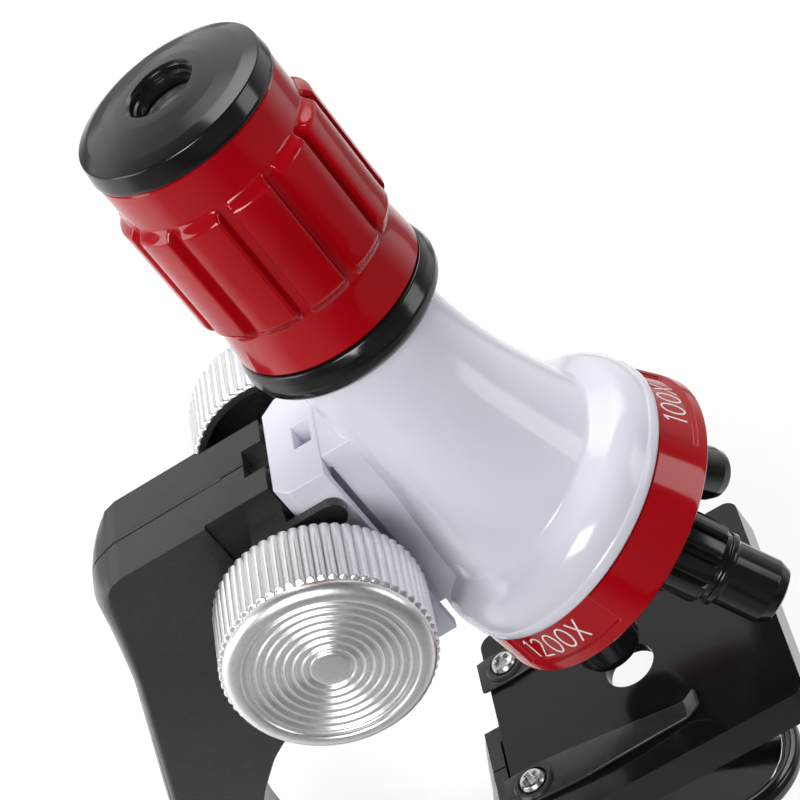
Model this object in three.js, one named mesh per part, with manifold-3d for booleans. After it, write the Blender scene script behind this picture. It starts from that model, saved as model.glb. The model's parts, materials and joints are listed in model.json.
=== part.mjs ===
// A toy microscope with a reclining arm, rack focus, three-lens turret, zoom eyepiece, stage clips,
// flip-over mirror lamp and a forked base. Millimetres and degrees, +Z up, front towards +X.
//
// Everything carried by the arm is laid out in the tube frame: Z runs up the optical axis, X points
// to the front, away from the arm, and the origin is the centre of the eyepiece cap's top edge.
// The tube group then leans back by RECLINE about Y. The base is laid out level around it.
import * as THREE from "three";
import { mergeVertices } from "three/addons/utils/BufferGeometryUtils.js";
import Module from "manifold-3d";

const wasm = await Module();
wasm.setup();

// ---------------------------------------------------------------- driving dimensions
const RECLINE = 32.14; // lean of the tube from upright
const GAP = 0.3; // running gap between neighbouring pieces

const CAP_RADIUS = 17.7; // eyepiece cap at its top edge
const CAP_SIDE = 4.0; // height of the cap's side
const EYE_HOLE = 6.2; // radius of the eye hole
const BARREL_RADIUS = 18.2; // smooth bands of the zoom barrel
const LAND_RADIUS = 20.0; // raised grips of the zoom barrel
const LAND_COUNT = 12;
const BARREL_BOTTOM = -48.2;
const COLLAR_BOTTOM = -55.3;
const DRAW_TUBE_RADIUS = 12.0;

const APEX_Z = -88.35; // where the turret axis crosses the optical axis
const NOSE_ANGLE = 20.7; // turret axis and objectives lean this much from each other
const TURRET_TURN = 5.3; // how far the turret stands from its click
const RING_TOP = 27.4; // distances along the turret axis, below the apex
const RING_BOTTOM = 37.1;
const RING_TOP_RADIUS = 28.2;
const RING_BOTTOM_RADIUS = 30.5;

const BLOCK = { back: -27.6, front: -17.2, half: 14.2, top: -70.9, bottom: -116.7 };
const NECK_HALF = 9.5;

const KNOB_X = -31.35; // focus shaft
const KNOB_Z = -90.02;
const KNOB_RADIUS = 19.6;
const KNOB_BACK = 22.3; // distances out from the middle plane
const KNOB_FACE = 40.0;
const KNOB_RIBS = 48;
const SHAFT_RADIUS = 2.0;
const PINION_TEETH = 12;
const PINION_MODULE = 0.85;
const PINION_RADIUS = (PINION_TEETH * PINION_MODULE) / 2;

const ARM_HALF = 11.4; // half the arm's width
const ARM_WALL = 2.2;
const ARM_FRONT = -28.3;
const HINGE_X = -30.0; // tilt hinge
const HINGE_Z = -194.5;
const HINGE_RADIUS = 8.0;
const HINGE_SPAN = 16.0; // outside of the base's two ears
const EAR_RADIUS = 7.6;

const STAGE = { back: -29.9, front: 31.1, half: 28.9, top: -158.6, bottom: -166.0 };
const STAGE_HOLE = 5.25;
const CLIP_X = -25.1; // clip screws
const CLIP_Y = 17.2;

const DISH_Z = -191.5; // mirror and lamp dish
const DISH_RADIUS = 19.5;
const DISH_TURN = 16;

const FLOOR = -216.0; // table top, in the level frame
const PLATE_BOTTOM = -214.6;
const SHELL_BOTTOM = -212.8;
const HEEL = { back: 14, front: 66, half: 19.5, top: -207.6 };
const PRONG = { back: 64, front: 121, inner: 21, outer: 36.5, top: -196.0 };
const WEB = { back: 73, front: 85, top: -199 };
const LID = 3.0; // thickness of the battery lids
const CELL_RADIUS = 5.25;
const CELL_LENGTH = 44.5;
const CELL_Z = -204.6;

const LEAN = THREE.MathUtils.degToRad(RECLINE);
const NOSE = THREE.MathUtils.degToRad(NOSE_ANGLE);
const HINGE_LEVEL_X = HINGE_X * Math.cos(LEAN) - HINGE_Z * Math.sin(LEAN);
const HINGE_LEVEL_Z = HINGE_X * Math.sin(LEAN) + HINGE_Z * Math.cos(LEAN);

// ---------------------------------------------------------------- materials
const finish = (color, roughness, metalness = 0) =>
  new THREE.MeshStandardMaterial({ color, roughness, metalness });

const MATERIALS = {
  black: finish(0x0c0c0e, 0.18),
  satinBlack: finish(0x141416, 0.35),
  red: finish(0xb30a14, 0.2),
  white: finish(0xe4e2ee, 0.2),
  silver: finish(0xb4b4b8, 0.35, 0.6),
  steel: finish(0xa9abb0, 0.3, 1),
  brass: finish(0xb58b3a, 0.35, 1),
  glass: finish(0xe6eef2, 0.02),
  mirror: finish(0xd5dade, 0.02, 1),
  rubber: finish(0x1a1a1a, 0.8),
  cell: finish(0x24553a, 0.35),
};

// ---------------------------------------------------------------- geometry helpers
// A closed geometry as a solid that can be joined and cut.
function solid(geometry) {
  const bare = geometry.clone();
  bare.deleteAttribute("normal");
  bare.deleteAttribute("uv");
  const merged = mergeVertices(bare, 1e-4);
  const index = merged.index.array;
  const triangles = [];
  for (let i = 0; i < index.length; i += 3) {
    const [a, b, c] = [index[i], index[i + 1], index[i + 2]];
    if (a !== b && b !== c && c !== a) triangles.push(a, b, c);
  }
  return new wasm.Manifold(
    new wasm.Mesh({
      numProp: 3,
      vertProperties: new Float32Array(merged.attributes.position.array),
      triVerts: new Uint32Array(triangles),
    }),
  );
}

const join = (...geometries) => geometries.map(solid).reduce((whole, next) => whole.add(next));

// The first solid less all the others.
const cut = (body, ...geometries) =>
  geometries.map(solid).reduce((left, tool) => left.subtract(tool), body);

function mesh(name, shape, material) {
  let geometry = shape;
  if (!shape.isBufferGeometry) {
    const data = shape.getMesh();
    geometry = new THREE.BufferGeometry();
    geometry.setAttribute("position", new THREE.BufferAttribute(data.vertProperties, 3));
    geometry.setIndex(new THREE.BufferAttribute(data.triVerts, 1));
    geometry.computeVertexNormals();
  }
  const made = new THREE.Mesh(geometry, material);
  made.name = name;
  return made;
}

function box(x0, x1, y0, y1, z0, z1) {
  const geometry = new THREE.BoxGeometry(x1 - x0, y1 - y0, z1 - z0);
  return geometry.translate((x0 + x1) / 2, (y0 + y1) / 2, (z0 + z1) / 2);
}

const outline = (points) => new THREE.Shape(points.map(([u, v]) => new THREE.Vector2(u, v)));

// An outline in X and Y, raised from z0 to z1.
function prismZ(points, z0, z1, steps = 1) {
  const geometry = new THREE.ExtrudeGeometry(outline(points), {
    depth: z1 - z0,
    bevelEnabled: false,
    steps,
  });
  return geometry.translate(0, 0, z0);
}

// An outline in X and Z, carried from y0 to y1.
function prismY(points, y0, y1, steps = 1) {
  return prismZ(points, 0, y1 - y0, steps).rotateX(Math.PI / 2).translate(0, y1, 0);
}

// A profile of [radius, height] pairs turned about Z.
function turned(profile, segments) {
  let area = 0;
  profile.forEach(([r, z], i) => {
    const [nextR, nextZ] = profile[(i + 1) % profile.length];
    area += r * nextZ - nextR * z;
  });
  const ordered = area > 0 ? [...profile] : [...profile].reverse();
  const onAxis = ordered.findIndex(([r], i) => r === 0 && ordered.at(i - 1)[0] === 0);
  const loop =
    onAxis >= 0
      ? [...ordered.slice(onAxis), ...ordered.slice(0, onAxis)]
      : [...ordered, ordered[0]];
  const points = loop.map(([r, z]) => new THREE.Vector2(r, z));
  return new THREE.LatheGeometry(points, segments).rotateX(Math.PI / 2);
}

const rod = (radius, z0, z1, segments = 12) =>
  turned([[0, z0], [radius, z0], [radius, z1], [0, z1]], segments);

// A rod along Y through (x, z).
const crossRod = (radius, x, z, y0, y1, segments = 12) =>
  rod(radius, 0, y1 - y0, segments).rotateX(-Math.PI / 2).translate(x, y0, z);

// The outline moved inwards by a distance, for an outline listed either way round.
function inset(points, distance) {
  let area = 0;
  points.forEach(([u, v], i) => {
    const [nextU, nextV] = points[(i + 1) % points.length];
    area += u * nextV - nextU * v;
  });
  const side = Math.sign(area) * distance;
  return points.map((point, i) => {
    const before = points.at(i - 1);
    const after = points[(i + 1) % points.length];
    const a = new THREE.Vector2(point[0] - before[0], point[1] - before[1]).normalize();
    const b = new THREE.Vector2(after[0] - point[0], after[1] - point[1]).normalize();
    const normal = new THREE.Vector2(-a.y - b.y, a.x + b.x).normalize();
    const reach = side / Math.max(0.5, Math.sqrt((1 + a.dot(b)) / 2));
    return [point[0] + normal.x * reach, point[1] + normal.y * reach];
  });
}

function roundedRect(x0, x1, y0, y1, radius, steps = 3) {
  const corners = [
    [x1 - radius, y1 - radius, 0],
    [x0 + radius, y1 - radius, 90],
    [x0 + radius, y0 + radius, 180],
    [x1 - radius, y0 + radius, 270],
  ];
  return corners.flatMap(([cx, cy, start]) =>
    Array.from({ length: steps + 1 }, (_, i) => {
      const angle = THREE.MathUtils.degToRad(start + (90 * i) / steps);
      return [cx + radius * Math.cos(angle), cy + radius * Math.sin(angle)];
    }),
  );
}

// A wheel outline that steps between two radii; stops lists [share of the pitch, radius].
function wheelOutline(count, stops) {
  return Array.from({ length: count }, (_, i) => i).flatMap((i) =>
    stops.map(([share, radius]) => {
      const angle = (2 * Math.PI * (i + share)) / count;
      return [radius * Math.cos(angle), radius * Math.sin(angle)];
    }),
  );
}

const onBothSides = (build) => [build("left", -1), build("right", 1)];

// ---------------------------------------------------------------- eyepiece
function eyepieceCap() {
  const plug = 16.0;
  const profile = [
    [18.5, -CAP_SIDE],
    [18.3, -1.5],
    [CAP_RADIUS, 0],
    [17.0, 0.55],
    [12.0, 1.8],
    [7.4, 2.45],
    [6.5, 2.15],
    [EYE_HOLE, 1.4],
    [5.6, -1.4],
    [8.3, -1.4],
    [8.3, -8.5],
    [plug, -8.5],
    [plug, -CAP_SIDE],
  ];
  return mesh("eyepiece_cap", turned(profile, 32), MATERIALS.black);
}

function eyeLens() {
  const profile = [[0, -5.0], [5.0, -4.7], [8.0, -3.9], [8.0, -2.9], [5.0, -2.1], [0, -1.8]];
  return mesh("eye_lens", turned(profile, 16), MATERIALS.glass);
}

function lensRetainer() {
  const profile = [[6.2, -7.6], [8.0, -7.6], [8.0, -5.3], [6.2, -5.3]];
  return mesh("eye_lens_retainer", turned(profile, 16), MATERIALS.satinBlack);
}

function zoomBarrel() {
  const top = -CAP_SIDE - GAP;
  const sleeve = turned(
    [
      [BARREL_RADIUS, top],
      [16.3, top],
      [16.3, -44],
      [12.4, -45],
      [12.4, BARREL_BOTTOM],
      [19.1, BARREL_BOTTOM],
      [BARREL_RADIUS, -40],
    ],
    36,
  );
  const groove = BARREL_RADIUS + 0.1;
  const lands = prismZ(
    wheelOutline(LAND_COUNT, [
      [0.0, groove],
      [0.24, groove],
      [0.32, LAND_RADIUS],
      [0.53, LAND_RADIUS],
      [0.71, LAND_RADIUS],
      [0.92, LAND_RADIUS],
    ]),
    -39.4,
    -11.8,
  );
  const chamfer = turned(
    [
      [17.0, -39.4],
      [18.6, -39.4],
      [LAND_RADIUS + 0.5, -36.6],
      [LAND_RADIUS + 0.5, -14.0],
      [18.6, -11.8],
      [17.0, -11.8],
    ],
    36,
  );
  const grip = solid(lands).intersect(solid(chamfer));
  return mesh("zoom_barrel", solid(sleeve).add(grip), MATERIALS.red);
}

function collar() {
  const profile = [
    [12.4, COLLAR_BOTTOM],
    [18.6, COLLAR_BOTTOM],
    [19.7, -53.6],
    [20.0, -52.2],
    [19.7, -50.4],
    [18.9, BARREL_BOTTOM - GAP],
    [12.4, BARREL_BOTTOM - GAP],
  ];
  return mesh("tube_collar", turned(profile, 32), MATERIALS.black);
}

function drawTube() {
  const profile = [
    [10.8, -62],
    [DRAW_TUBE_RADIUS, -62],
    [DRAW_TUBE_RADIUS, -10.5],
    [10.9, -10.5],
    [10.9, -47],
    [9.5, -47],
    [9.5, -49],
    [10.8, -49],
  ];
  return mesh("draw_tube", turned(profile, 20), MATERIALS.satinBlack);
}

function fieldLens() {
  const profile = [[0, -46.7], [10.6, -46.7], [10.6, -45.0], [6.0, -43.8], [0, -43.3]];
  return mesh("field_lens", turned(profile, 16), MATERIALS.glass);
}

// ---------------------------------------------------------------- head: cone, dome and slide block
// Rows of [height, front of the cone, back of the cone].
const CONE_ROWS = [
  [-55.6, 15.0, -15.0],
  [-61.0, 15.3, -14.9],
  [-66.0, 16.0, -14.6],
  [-71.0, 17.0, -14.4],
  [-78.0, 18.9, -14.2],
  [-84.0, 21.0, -14.0],
  [-90.6, 23.6, -14.0],
  [-97.0, 26.3, -14.2],
  [-104.0, 28.0, -14.6],
];

// The cone leans forward as it widens, so each turned row is moved to its own centre.
function cone(wall) {
  const rows = CONE_ROWS.map(([z, front, back]) => ({
    z,
    radius: (front - back) / 2 - wall,
    middle: (front + back) / 2,
  }));
  const top = rows[0].z + (wall > 0 ? 1 : 0);
  const side = rows.map(({ z, radius }) => [radius, z]);
  const profile = [[0, top], ...side, [0, rows.at(-1).z]];
  profile[1][1] = top;
  const geometry = turned(profile, wall > 0 ? 16 : 32);
  const position = geometry.attributes.position;
  for (let i = 0; i < position.count; i += 1) {
    const z = position.getZ(i);
    const below = rows.findIndex((row) => row.z <= z + 1e-6);
    const from = rows[Math.max(0, below - 1)];
    const to = rows[below < 0 ? rows.length - 1 : below];
    const span = from.z - to.z;
    const share = span > 0 ? Math.min(1, Math.max(0, (from.z - z) / span)) : 0;
    position.setX(i, position.getX(i) + from.middle + (to.middle - from.middle) * share);
  }
  return geometry;
}

// Into the tube frame from the turret's own, whose origin is the apex and whose Z is its axis.
const fromTurret = (geometry) => geometry.rotateY(-NOSE).translate(0, 0, APEX_Z);

function dome(wall) {
  const open = wall > 0 ? 1 : 0;
  const rim = -27.1 - open;
  const profile = [
    [0, -16.2 - wall],
    [20.0 - wall, -16.2 - wall],
    [23.4 - wall, -16.6 - wall],
    [25.9 - wall, -18.0 - wall / 2],
    [27.5 - wall, -20.0],
    [28.2 - wall, -22.2],
    [28.0 - wall, -24.5],
    [28.4 - wall, -24.8],
    [28.1 - wall, rim],
    [0, rim],
  ];
  return fromTurret(turned(profile, wall > 0 ? 20 : 36));
}

function headBody() {
  const { back, front, half, top, bottom } = BLOCK;
  const chamfer = 3;
  const blockPlan = [
    [back, -half + chamfer],
    [back + chamfer, -half],
    [front, -half],
    [front, half],
    [back + chamfer, half],
    [back, half - chamfer],
  ];
  const shell = join(cone(0), dome(0), prismZ(blockPlan, bottom, top));
  const spine = box(front - 1, -6, -NECK_HALF, NECK_HALF, bottom, top);
  const inside = join(cone(2.3), dome(2.3));
  const screwBoss = fromTurret(rod(4.0, -26.6, -19.0, 10));
  const bridge = fromTurret(box(-3, 3, -26, 26, -25.5, -20.5)); // holds the screw boss
  const whole = shell.add(solid(spine)).subtract(inside).add(join(screwBoss, bridge));
  const rackSlot = box(back - 1, -23.0, -3.7, 3.7, bottom - 1, top - 2.6);
  const pin = box(-22.1, -18.4, -3.3, 3.3, top - 3, top + 1);
  const sideGrooves = [-1, 1].map((side) =>
    box(-24.6, -21.4, side > 0 ? half - 1.1 : -half - 1, side > 0 ? half + 1 : -half + 1.1,
      bottom - 1, top + 1),
  );
  const pockets = [-1, 1].map((side) =>
    box(-24.5, -16.8, side > 0 ? 5.2 : -11.8, side > 0 ? 11.8 : -5.2, bottom - 1, top - 3.2),
  );
  const screwHole = fromTurret(rod(1.7, -28, -19.6, 8));
  const made = cut(whole, rackSlot, pin, ...sideGrooves, ...pockets, screwHole);
  return mesh("head_body", made, MATERIALS.white);
}

// ---------------------------------------------------------------- rack and pinion focus
const RACK_LINE = KNOB_X + PINION_RADIUS; // pitch line of the rack
const TOOTH_PITCH = Math.PI * PINION_MODULE;
const PRESSURE = THREE.MathUtils.degToRad(25);
const TOOTH_REACH = 0.75; // tooth height above and below the pitch line
const TOOTH_SLACK = 0.12; // thinning of each flank

function focusRack() {
  const bottom = -116;
  const top = -74;
  const root = RACK_LINE + TOOTH_REACH + 0.35;
  const half = TOOTH_PITCH / 4 - TOOTH_SLACK;
  const spread = (reach) => half - reach * Math.tan(PRESSURE);
  const points = [[-23.3, bottom], [-23.3, top], [root, top]];
  const first = Math.floor((top - 1.2 - KNOB_Z) / TOOTH_PITCH);
  const last = Math.ceil((bottom + 1.2 - KNOB_Z) / TOOTH_PITCH);
  for (let i = first; i >= last; i -= 1) {
    const z = KNOB_Z + i * TOOTH_PITCH;
    points.push([root, z + spread(RACK_LINE - root)]);
    points.push([RACK_LINE - TOOTH_REACH, z + spread(TOOTH_REACH)]);
    points.push([RACK_LINE - TOOTH_REACH, z - spread(TOOTH_REACH)]);
    points.push([root, z - spread(RACK_LINE - root)]);
  }
  points.push([root, bottom]);
  return mesh("focus_rack", prismY(points, -3.3, 3.3), MATERIALS.satinBlack);
}

// Involute teeth; a space of the pinion faces the rack tooth at the height of the shaft.
function pinionOutline() {
  const base = PINION_RADIUS * Math.cos(PRESSURE);
  const tip = PINION_RADIUS + TOOTH_REACH;
  const root = PINION_RADIUS - TOOTH_REACH - 0.35;
  const roll = (radius) => Math.sqrt(Math.max(0, (radius / base) ** 2 - 1));
  const involute = (radius) => roll(radius) - Math.atan(roll(radius));
  const halfAtPitch = Math.PI / (2 * PINION_TEETH) - TOOTH_SLACK / PINION_RADIUS;
  const halfAt = (radius) => halfAtPitch + involute(PINION_RADIUS) - involute(radius);
  const radii = [root, base, base + 0.4, PINION_RADIUS + 0.1, tip];
  const points = [];
  for (let i = 0; i < PINION_TEETH; i += 1) {
    const middle = ((i + 0.5) * 2 * Math.PI) / PINION_TEETH;
    radii.forEach((r) => points.push([r, middle - halfAt(Math.max(r, base))]));
    [...radii].reverse().forEach((r) => points.push([r, middle + halfAt(Math.max(r, base))]));
  }
  return points.map(([r, angle]) => [r * Math.cos(angle), r * Math.sin(angle)]);
}

function focusPinion() {
  const gear = prismY(pinionOutline(), -3.2, 3.2);
  const bore = crossRod(SHAFT_RADIUS + GAP, 0, 0, -5, 5, 16);
  const made = mesh("focus_pinion", cut(solid(gear), bore), MATERIALS.brass);
  made.position.set(KNOB_X, 0, KNOB_Z);
  return made;
}

function focusShaft() {
  const shaft = crossRod(SHAFT_RADIUS, KNOB_X, KNOB_Z, -34.5, 34.5, 16);
  return mesh("focus_shaft", shaft, MATERIALS.steel);
}

function focusKnob(side, sign) {
  const shell = turned(
    [
      [SHAFT_RADIUS + GAP, 13.0],
      [4.0, 13.0],
      [4.0, 36.4],
      [16.6, 36.4],
      [17.0, KNOB_BACK],
      [18.9, KNOB_BACK],
      [18.9, 37.2],
      [18.4, 38.8],
      [17.3, 39.9],
      [16.2, KNOB_FACE],
      [15.5, 39.5],
      [0, 39.5],
      [0, 35.2],
      [SHAFT_RADIUS + GAP, 35.2],
    ],
    24,
  );
  const ribs = prismZ(
    wheelOutline(KNOB_RIBS, [
      [0.0, 18.95],
      [0.5, KNOB_RADIUS],
    ]),
    KNOB_BACK + 0.5,
    37.2,
  );
  const core = rod(18.0, 0, 50, 24);
  const rim = solid(ribs).subtract(solid(core));
  const knob = mesh(`focus_knob_${side}`, solid(shell).add(rim), MATERIALS.silver);
  knob.rotation.x = (-sign * Math.PI) / 2;
  knob.position.set(KNOB_X, 0, KNOB_Z);
  return knob;
}

// ---------------------------------------------------------------- turret and objectives
function turretRing() {
  const ring = turned(
    [
      [25.4, -RING_TOP],
      [RING_TOP_RADIUS, -RING_TOP],
      [RING_BOTTOM_RADIUS, -36.4],
      [30.2, -RING_BOTTOM],
      [27.4, -RING_BOTTOM],
      [26.6, -36.0],
      [25.4, -31.0],
    ],
    40,
  );
  const panels = [0, 120, 240].map((azimuth) => {
    const panel = box(20, 40, -12.5, 12.5, -34.6, -RING_TOP + 1);
    return panel.rotateZ(THREE.MathUtils.degToRad(azimuth));
  });
  const skin = cut(join(...panels), turretPanelCore());
  return mesh("turret_ring", solid(ring).subtract(skin), MATERIALS.red);
}

// What the label panels leave standing: the ring's cone, 0.6 mm under its surface.
function turretPanelCore() {
  const depth = 0.6;
  return turned(
    [
      [0, -39],
      [RING_BOTTOM_RADIUS - depth + 0.3, -39],
      [RING_TOP_RADIUS - depth - 0.3, -26],
      [0, -26],
    ],
    40,
  );
}

// An objective's own frame: Z runs up its axis to the apex, where its origin is.
function objectiveFrame(azimuth) {
  const spun = new THREE.Matrix4().makeRotationZ(THREE.MathUtils.degToRad(azimuth));
  return spun.multiply(new THREE.Matrix4().makeRotationY(-NOSE));
}

const AZIMUTHS = { short: 180, long: 60, medium: -60 };

function turretPlate() {
  const disc = turned(
    [
      [0, -34.0],
      [24.9, -34.0],
      [24.9, -31.2],
      [0, -31.2],
    ],
    24,
  );
  const hub = rod(6.0, -36.8, -27.0, 12);
  const sockets = Object.values(AZIMUTHS).map((azimuth) =>
    rod(7.4, -38.6, -33.4, 14).applyMatrix4(objectiveFrame(azimuth)),
  );
  const bores = Object.values(AZIMUTHS).map((azimuth) =>
    rod(5.7, -45, -25, 14).applyMatrix4(objectiveFrame(azimuth)),
  );
  const made = cut(join(disc, hub, ...sockets), rod(2.3, -40, -20, 8), ...bores);
  return mesh("turret_plate", made, MATERIALS.satinBlack);
}

function turretScrew() {
  const profile = [
    [0, -39.6],
    [3.4, -39.2],
    [4.2, -37.1],
    [1.35, -37.1],
    [1.35, -20.0],
    [0, -20.0],
  ];
  return mesh("turret_screw", turned(profile, 10), MATERIALS.steel);
}

// Profiles of [radius, distance below the apex], down the outside from the thread to the nose.
const THREAD = [[5.4, 33.0], [5.4, 38.9]];
const OBJECTIVES = {
  short: [
    ...THREAD,
    [6.9, 38.9],
    [6.9, 45.0],
    [6.4, 46.0],
    [6.4, 60.2],
    [5.6, 62.0],
    [4.2, 62.8],
  ],
  long: [...THREAD, [6.3, 38.9], [6.3, 42.0], [5.4, 66.6], [4.8, 68.6], [3.4, 69.5]],
  medium: [
    ...THREAD,
    [6.6, 38.9],
    [6.6, 55.6],
    [7.2, 55.6],
    [7.2, 56.9],
    [6.3, 57.6],
    [6.3, 66.0],
    [5.3, 68.2],
    [3.4, 69.0],
  ],
};

function objective(size, azimuth) {
  const outside = OBJECTIVES[size].map(([r, drop]) => [r, -drop]);
  const noseEnd = outside.at(-1)[1];
  const profile = [
    ...outside,
    [2.2, noseEnd],
    [2.2, noseEnd + 1.0],
    [3.2, noseEnd + 1.6],
    [3.2, noseEnd + 4.6],
    [4.2, noseEnd + 4.6],
    [4.2, -33.0],
  ];
  let shape = solid(turned(profile, 18));
  if (size === "medium") {
    const teeth = wheelOutline(10, [[0.1, 6.2], [0.2, 7.9], [0.8, 7.9], [0.9, 6.2]]);
    const grip = prismZ(teeth, -54.4, -39.8);
    shape = shape.add(solid(grip).subtract(solid(rod(5.0, -60, -30, 18))));
  }
  const made = mesh(`objective_${size}`, shape, MATERIALS.black);
  made.applyMatrix4(objectiveFrame(azimuth));
  return made;
}

function objectiveLens(size, azimuth) {
  const noseEnd = -OBJECTIVES[size].at(-1)[1];
  const profile = [
    [0, noseEnd + 1.9],
    [2.9, noseEnd + 1.9],
    [2.9, noseEnd + 3.0],
    [1.5, noseEnd + 3.6],
    [0, noseEnd + 3.8],
  ];
  const made = mesh(`objective_${size}_lens`, turned(profile, 10), MATERIALS.glass);
  made.applyMatrix4(objectiveFrame(azimuth));
  return made;
}

// ---------------------------------------------------------------- arm
// The back edge at the arm's sides, from the top of the head down to the hinge.
const ARM_BACK = [
  [-60.5, -70.4],
  [-63.4, -71.2],
  [-64.6, -73.4],
  [-67.6, -82.3],
  [-71.6, -93.0],
  [-76.2, -104.0],
  [-80.8, -114.4],
  [-84.9, -124.0],
  [-89.0, -134.5],
  [-91.8, -145.5],
  [-92.4, -157.5],
  [-90.2, -170.0],
  [-84.5, -181.8],
  [-75.5, -191.0],
  [-64.0, -197.4],
  [-52.0, -201.0],
  [-42.0, -202.8],
];

const ARM_OUTLINE = [
  [ARM_FRONT, -70.4],
  ...ARM_BACK,
  [HINGE_X - 4.0, HINGE_Z - 6.93],
  [HINGE_X, HINGE_Z - HINGE_RADIUS],
  [HINGE_X + 4.0, HINGE_Z - 6.93],
  [HINGE_X + 6.93, HINGE_Z - 4.0],
  [HINGE_X + HINGE_RADIUS, HINGE_Z],
  [HINGE_X + HINGE_RADIUS, -166.3],
  [-36.4, -166.3],
  [-38.4, -170.3],
  [-40.8, -175.5],
  [-43.4, -181.5],
  [-46.3, -186.5],
  [-50.0, -189.2],
  [-56.5, -189.0],
  [-64.0, -185.4],
  [-71.5, -178.4],
  [-77.0, -169.5],
  [-79.2, -159.5],
  [-78.6, -149.5],
  [-75.6, -140.2],
  [-71.0, -132.8],
  [-66.5, -128.1],
  [-62.0, -124.2],
  [-54.0, -120.0],
  [-45.0, -116.5],
  [-36.0, -113.0],
  [-30.5, -109.0],
  [ARM_FRONT, -104.0],
];

const BACK_BULGE = 5.2; // how far the rounded back stands out at the middle

// The back is rounded from side to side: full at the seam, flush at the sides, fading towards
// the hinge.
function roundBack(geometry) {
  const pushes = new Map();
  ARM_BACK.forEach(([x, z], i) => {
    const before = ARM_BACK[Math.max(0, i - 1)];
    const after = ARM_BACK[Math.min(ARM_BACK.length - 1, i + 1)];
    const normal = new THREE.Vector2(after[1] - before[1], before[0] - after[0]).normalize();
    const belly = 0.62 + 0.38 * THREE.MathUtils.clamp((z + 95) / 22, 0, 1);
    const fade = belly * THREE.MathUtils.clamp((z + 202) / 55, 0, 1) * Math.min(1, i / 2);
    const push = new THREE.Vector2(normal.x, Math.min(0, normal.y));
    push.multiplyScalar(BACK_BULGE * fade);
    pushes.set(`${x.toFixed(2)} ${z.toFixed(2)}`, push);
  });
  const position = geometry.attributes.position;
  for (let i = 0; i < position.count; i += 1) {
    const push = pushes.get(`${position.getX(i).toFixed(2)} ${position.getZ(i).toFixed(2)}`);
    if (push) {
      const share = Math.min(1, Math.abs(position.getY(i)) / ARM_HALF);
      const amount = Math.sqrt(1 - share * share);
      position.setX(i, position.getX(i) + push.x * amount);
      position.setZ(i, position.getZ(i) + push.y * amount);
    }
  }
  return geometry;
}

const ARM_BOSSES = [
  { name: "top", x: -54, z: -85 },
  { name: "middle", x: -75, z: -125 },
  { name: "low", x: -78, z: -177 },
];

// A box on one side of the middle plane, from y0 out to y1.
const sideBox = (sign, x0, x1, y0, y1, z0, z1) =>
  sign > 0 ? box(x0, x1, y0, y1, z0, z1) : box(x0, x1, -y1, -y0, z0, z1);

const sideRod = (sign, radius, x, z, y0, y1, segments = 12) =>
  sign > 0
    ? crossRod(radius, x, z, y0, y1, segments)
    : crossRod(radius, x, z, -y1, -y0, segments);

const sidePrism = (sign, points, y0, y1, steps = 1) =>
  sign > 0 ? prismY(points, y0, y1, steps) : prismY(points, -y1, -y0, steps);

const FINGER_ROWS = [
  { top: -75.8, bottom: -81.3 },
  { top: -96.2, bottom: -101.2 },
];

// A guide finger that runs forward past the slide block, with a rounded tip.
function finger(sign, { top, bottom }) {
  const radius = (top - bottom) / 2;
  const middle = (top + bottom) / 2;
  const tip = -17.7 - radius;
  const arc = [-60, -30, 0, 30, 60].map((degrees) => {
    const angle = THREE.MathUtils.degToRad(degrees);
    return [tip + radius * Math.cos(angle), middle + radius * Math.sin(angle)];
  });
  const points = [[-36, bottom], [tip, bottom], ...arc, [tip, top], [-36, top]];
  return sidePrism(sign, points, 14.5, 16.6);
}

function armShell(side, sign) {
  const outer = roundBack(sidePrism(sign, ARM_OUTLINE, 0.1, ARM_HALF, 4));
  const pocket = sidePrism(sign, inset(ARM_OUTLINE, ARM_WALL), -1, ARM_HALF - 2);
  const bosses = ARM_BOSSES.map(({ x, z }) => sideRod(sign, 3.4, x, z, 0.1, ARM_HALF - 1));
  const hingeBoss = sideRod(sign, 6.2, HINGE_X, HINGE_Z, 0.1, ARM_HALF - 1, 16);
  const shaftBoss = sideRod(sign, 3.2, KNOB_X, KNOB_Z, 4.0, 12.6, 12);
  const wingRoots = FINGER_ROWS.map(({ top, bottom }) =>
    sideBox(sign, -36, -28.7, ARM_HALF - 1, 16.6, bottom, top),
  );
  const guideRibs = FINGER_ROWS.map(({ top, bottom }) =>
    sideBox(sign, -24.3, -21.7, 13.5, 15, bottom + 0.3, top - 0.3),
  );
  const fingers = FINGER_ROWS.map((row) => finger(sign, row));
  const hollow = cut(solid(outer), pocket);
  const whole = [...bosses, hingeBoss, shaftBoss, ...wingRoots, ...guideRibs, ...fingers]
    .map(solid)
    .reduce((sum, piece) => sum.add(piece), hollow);
  const pinionWindow = sideBox(sign, -40, -24, -1, 3.9, -98.5, -81.5);
  const topNotch = sideBox(sign, -32.6, -24, -1, 3.95, -73.6, -69);
  const shaftHole = sideRod(sign, SHAFT_RADIUS + GAP, KNOB_X, KNOB_Z, -1, 14, 10);
  const hingeHole = sideRod(sign, 2.9, HINGE_X, HINGE_Z, -1, 14, 10);
  const tenonSlot = sideBox(sign, -33.4, -24.6, -1, 7.3, -171.5, -165);
  const screwHoles = ARM_BOSSES.map(({ x, z }) =>
    sign > 0
      ? sideRod(sign, 1.7, x, z, -1, 14, 8)
      : sideRod(sign, 1.7, x, z, -1, 8, 8),
  );
  const sinks = ARM_BOSSES.map(({ x, z }) => sideRod(1, 3.2, x, z, 9.6, 14, 10));
  const tools = [pinionWindow, topNotch, shaftHole, hingeHole, tenonSlot, ...screwHoles, ...sinks];
  return mesh(`arm_shell_${side}`, cut(whole, ...tools), MATERIALS.satinBlack);
}

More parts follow.
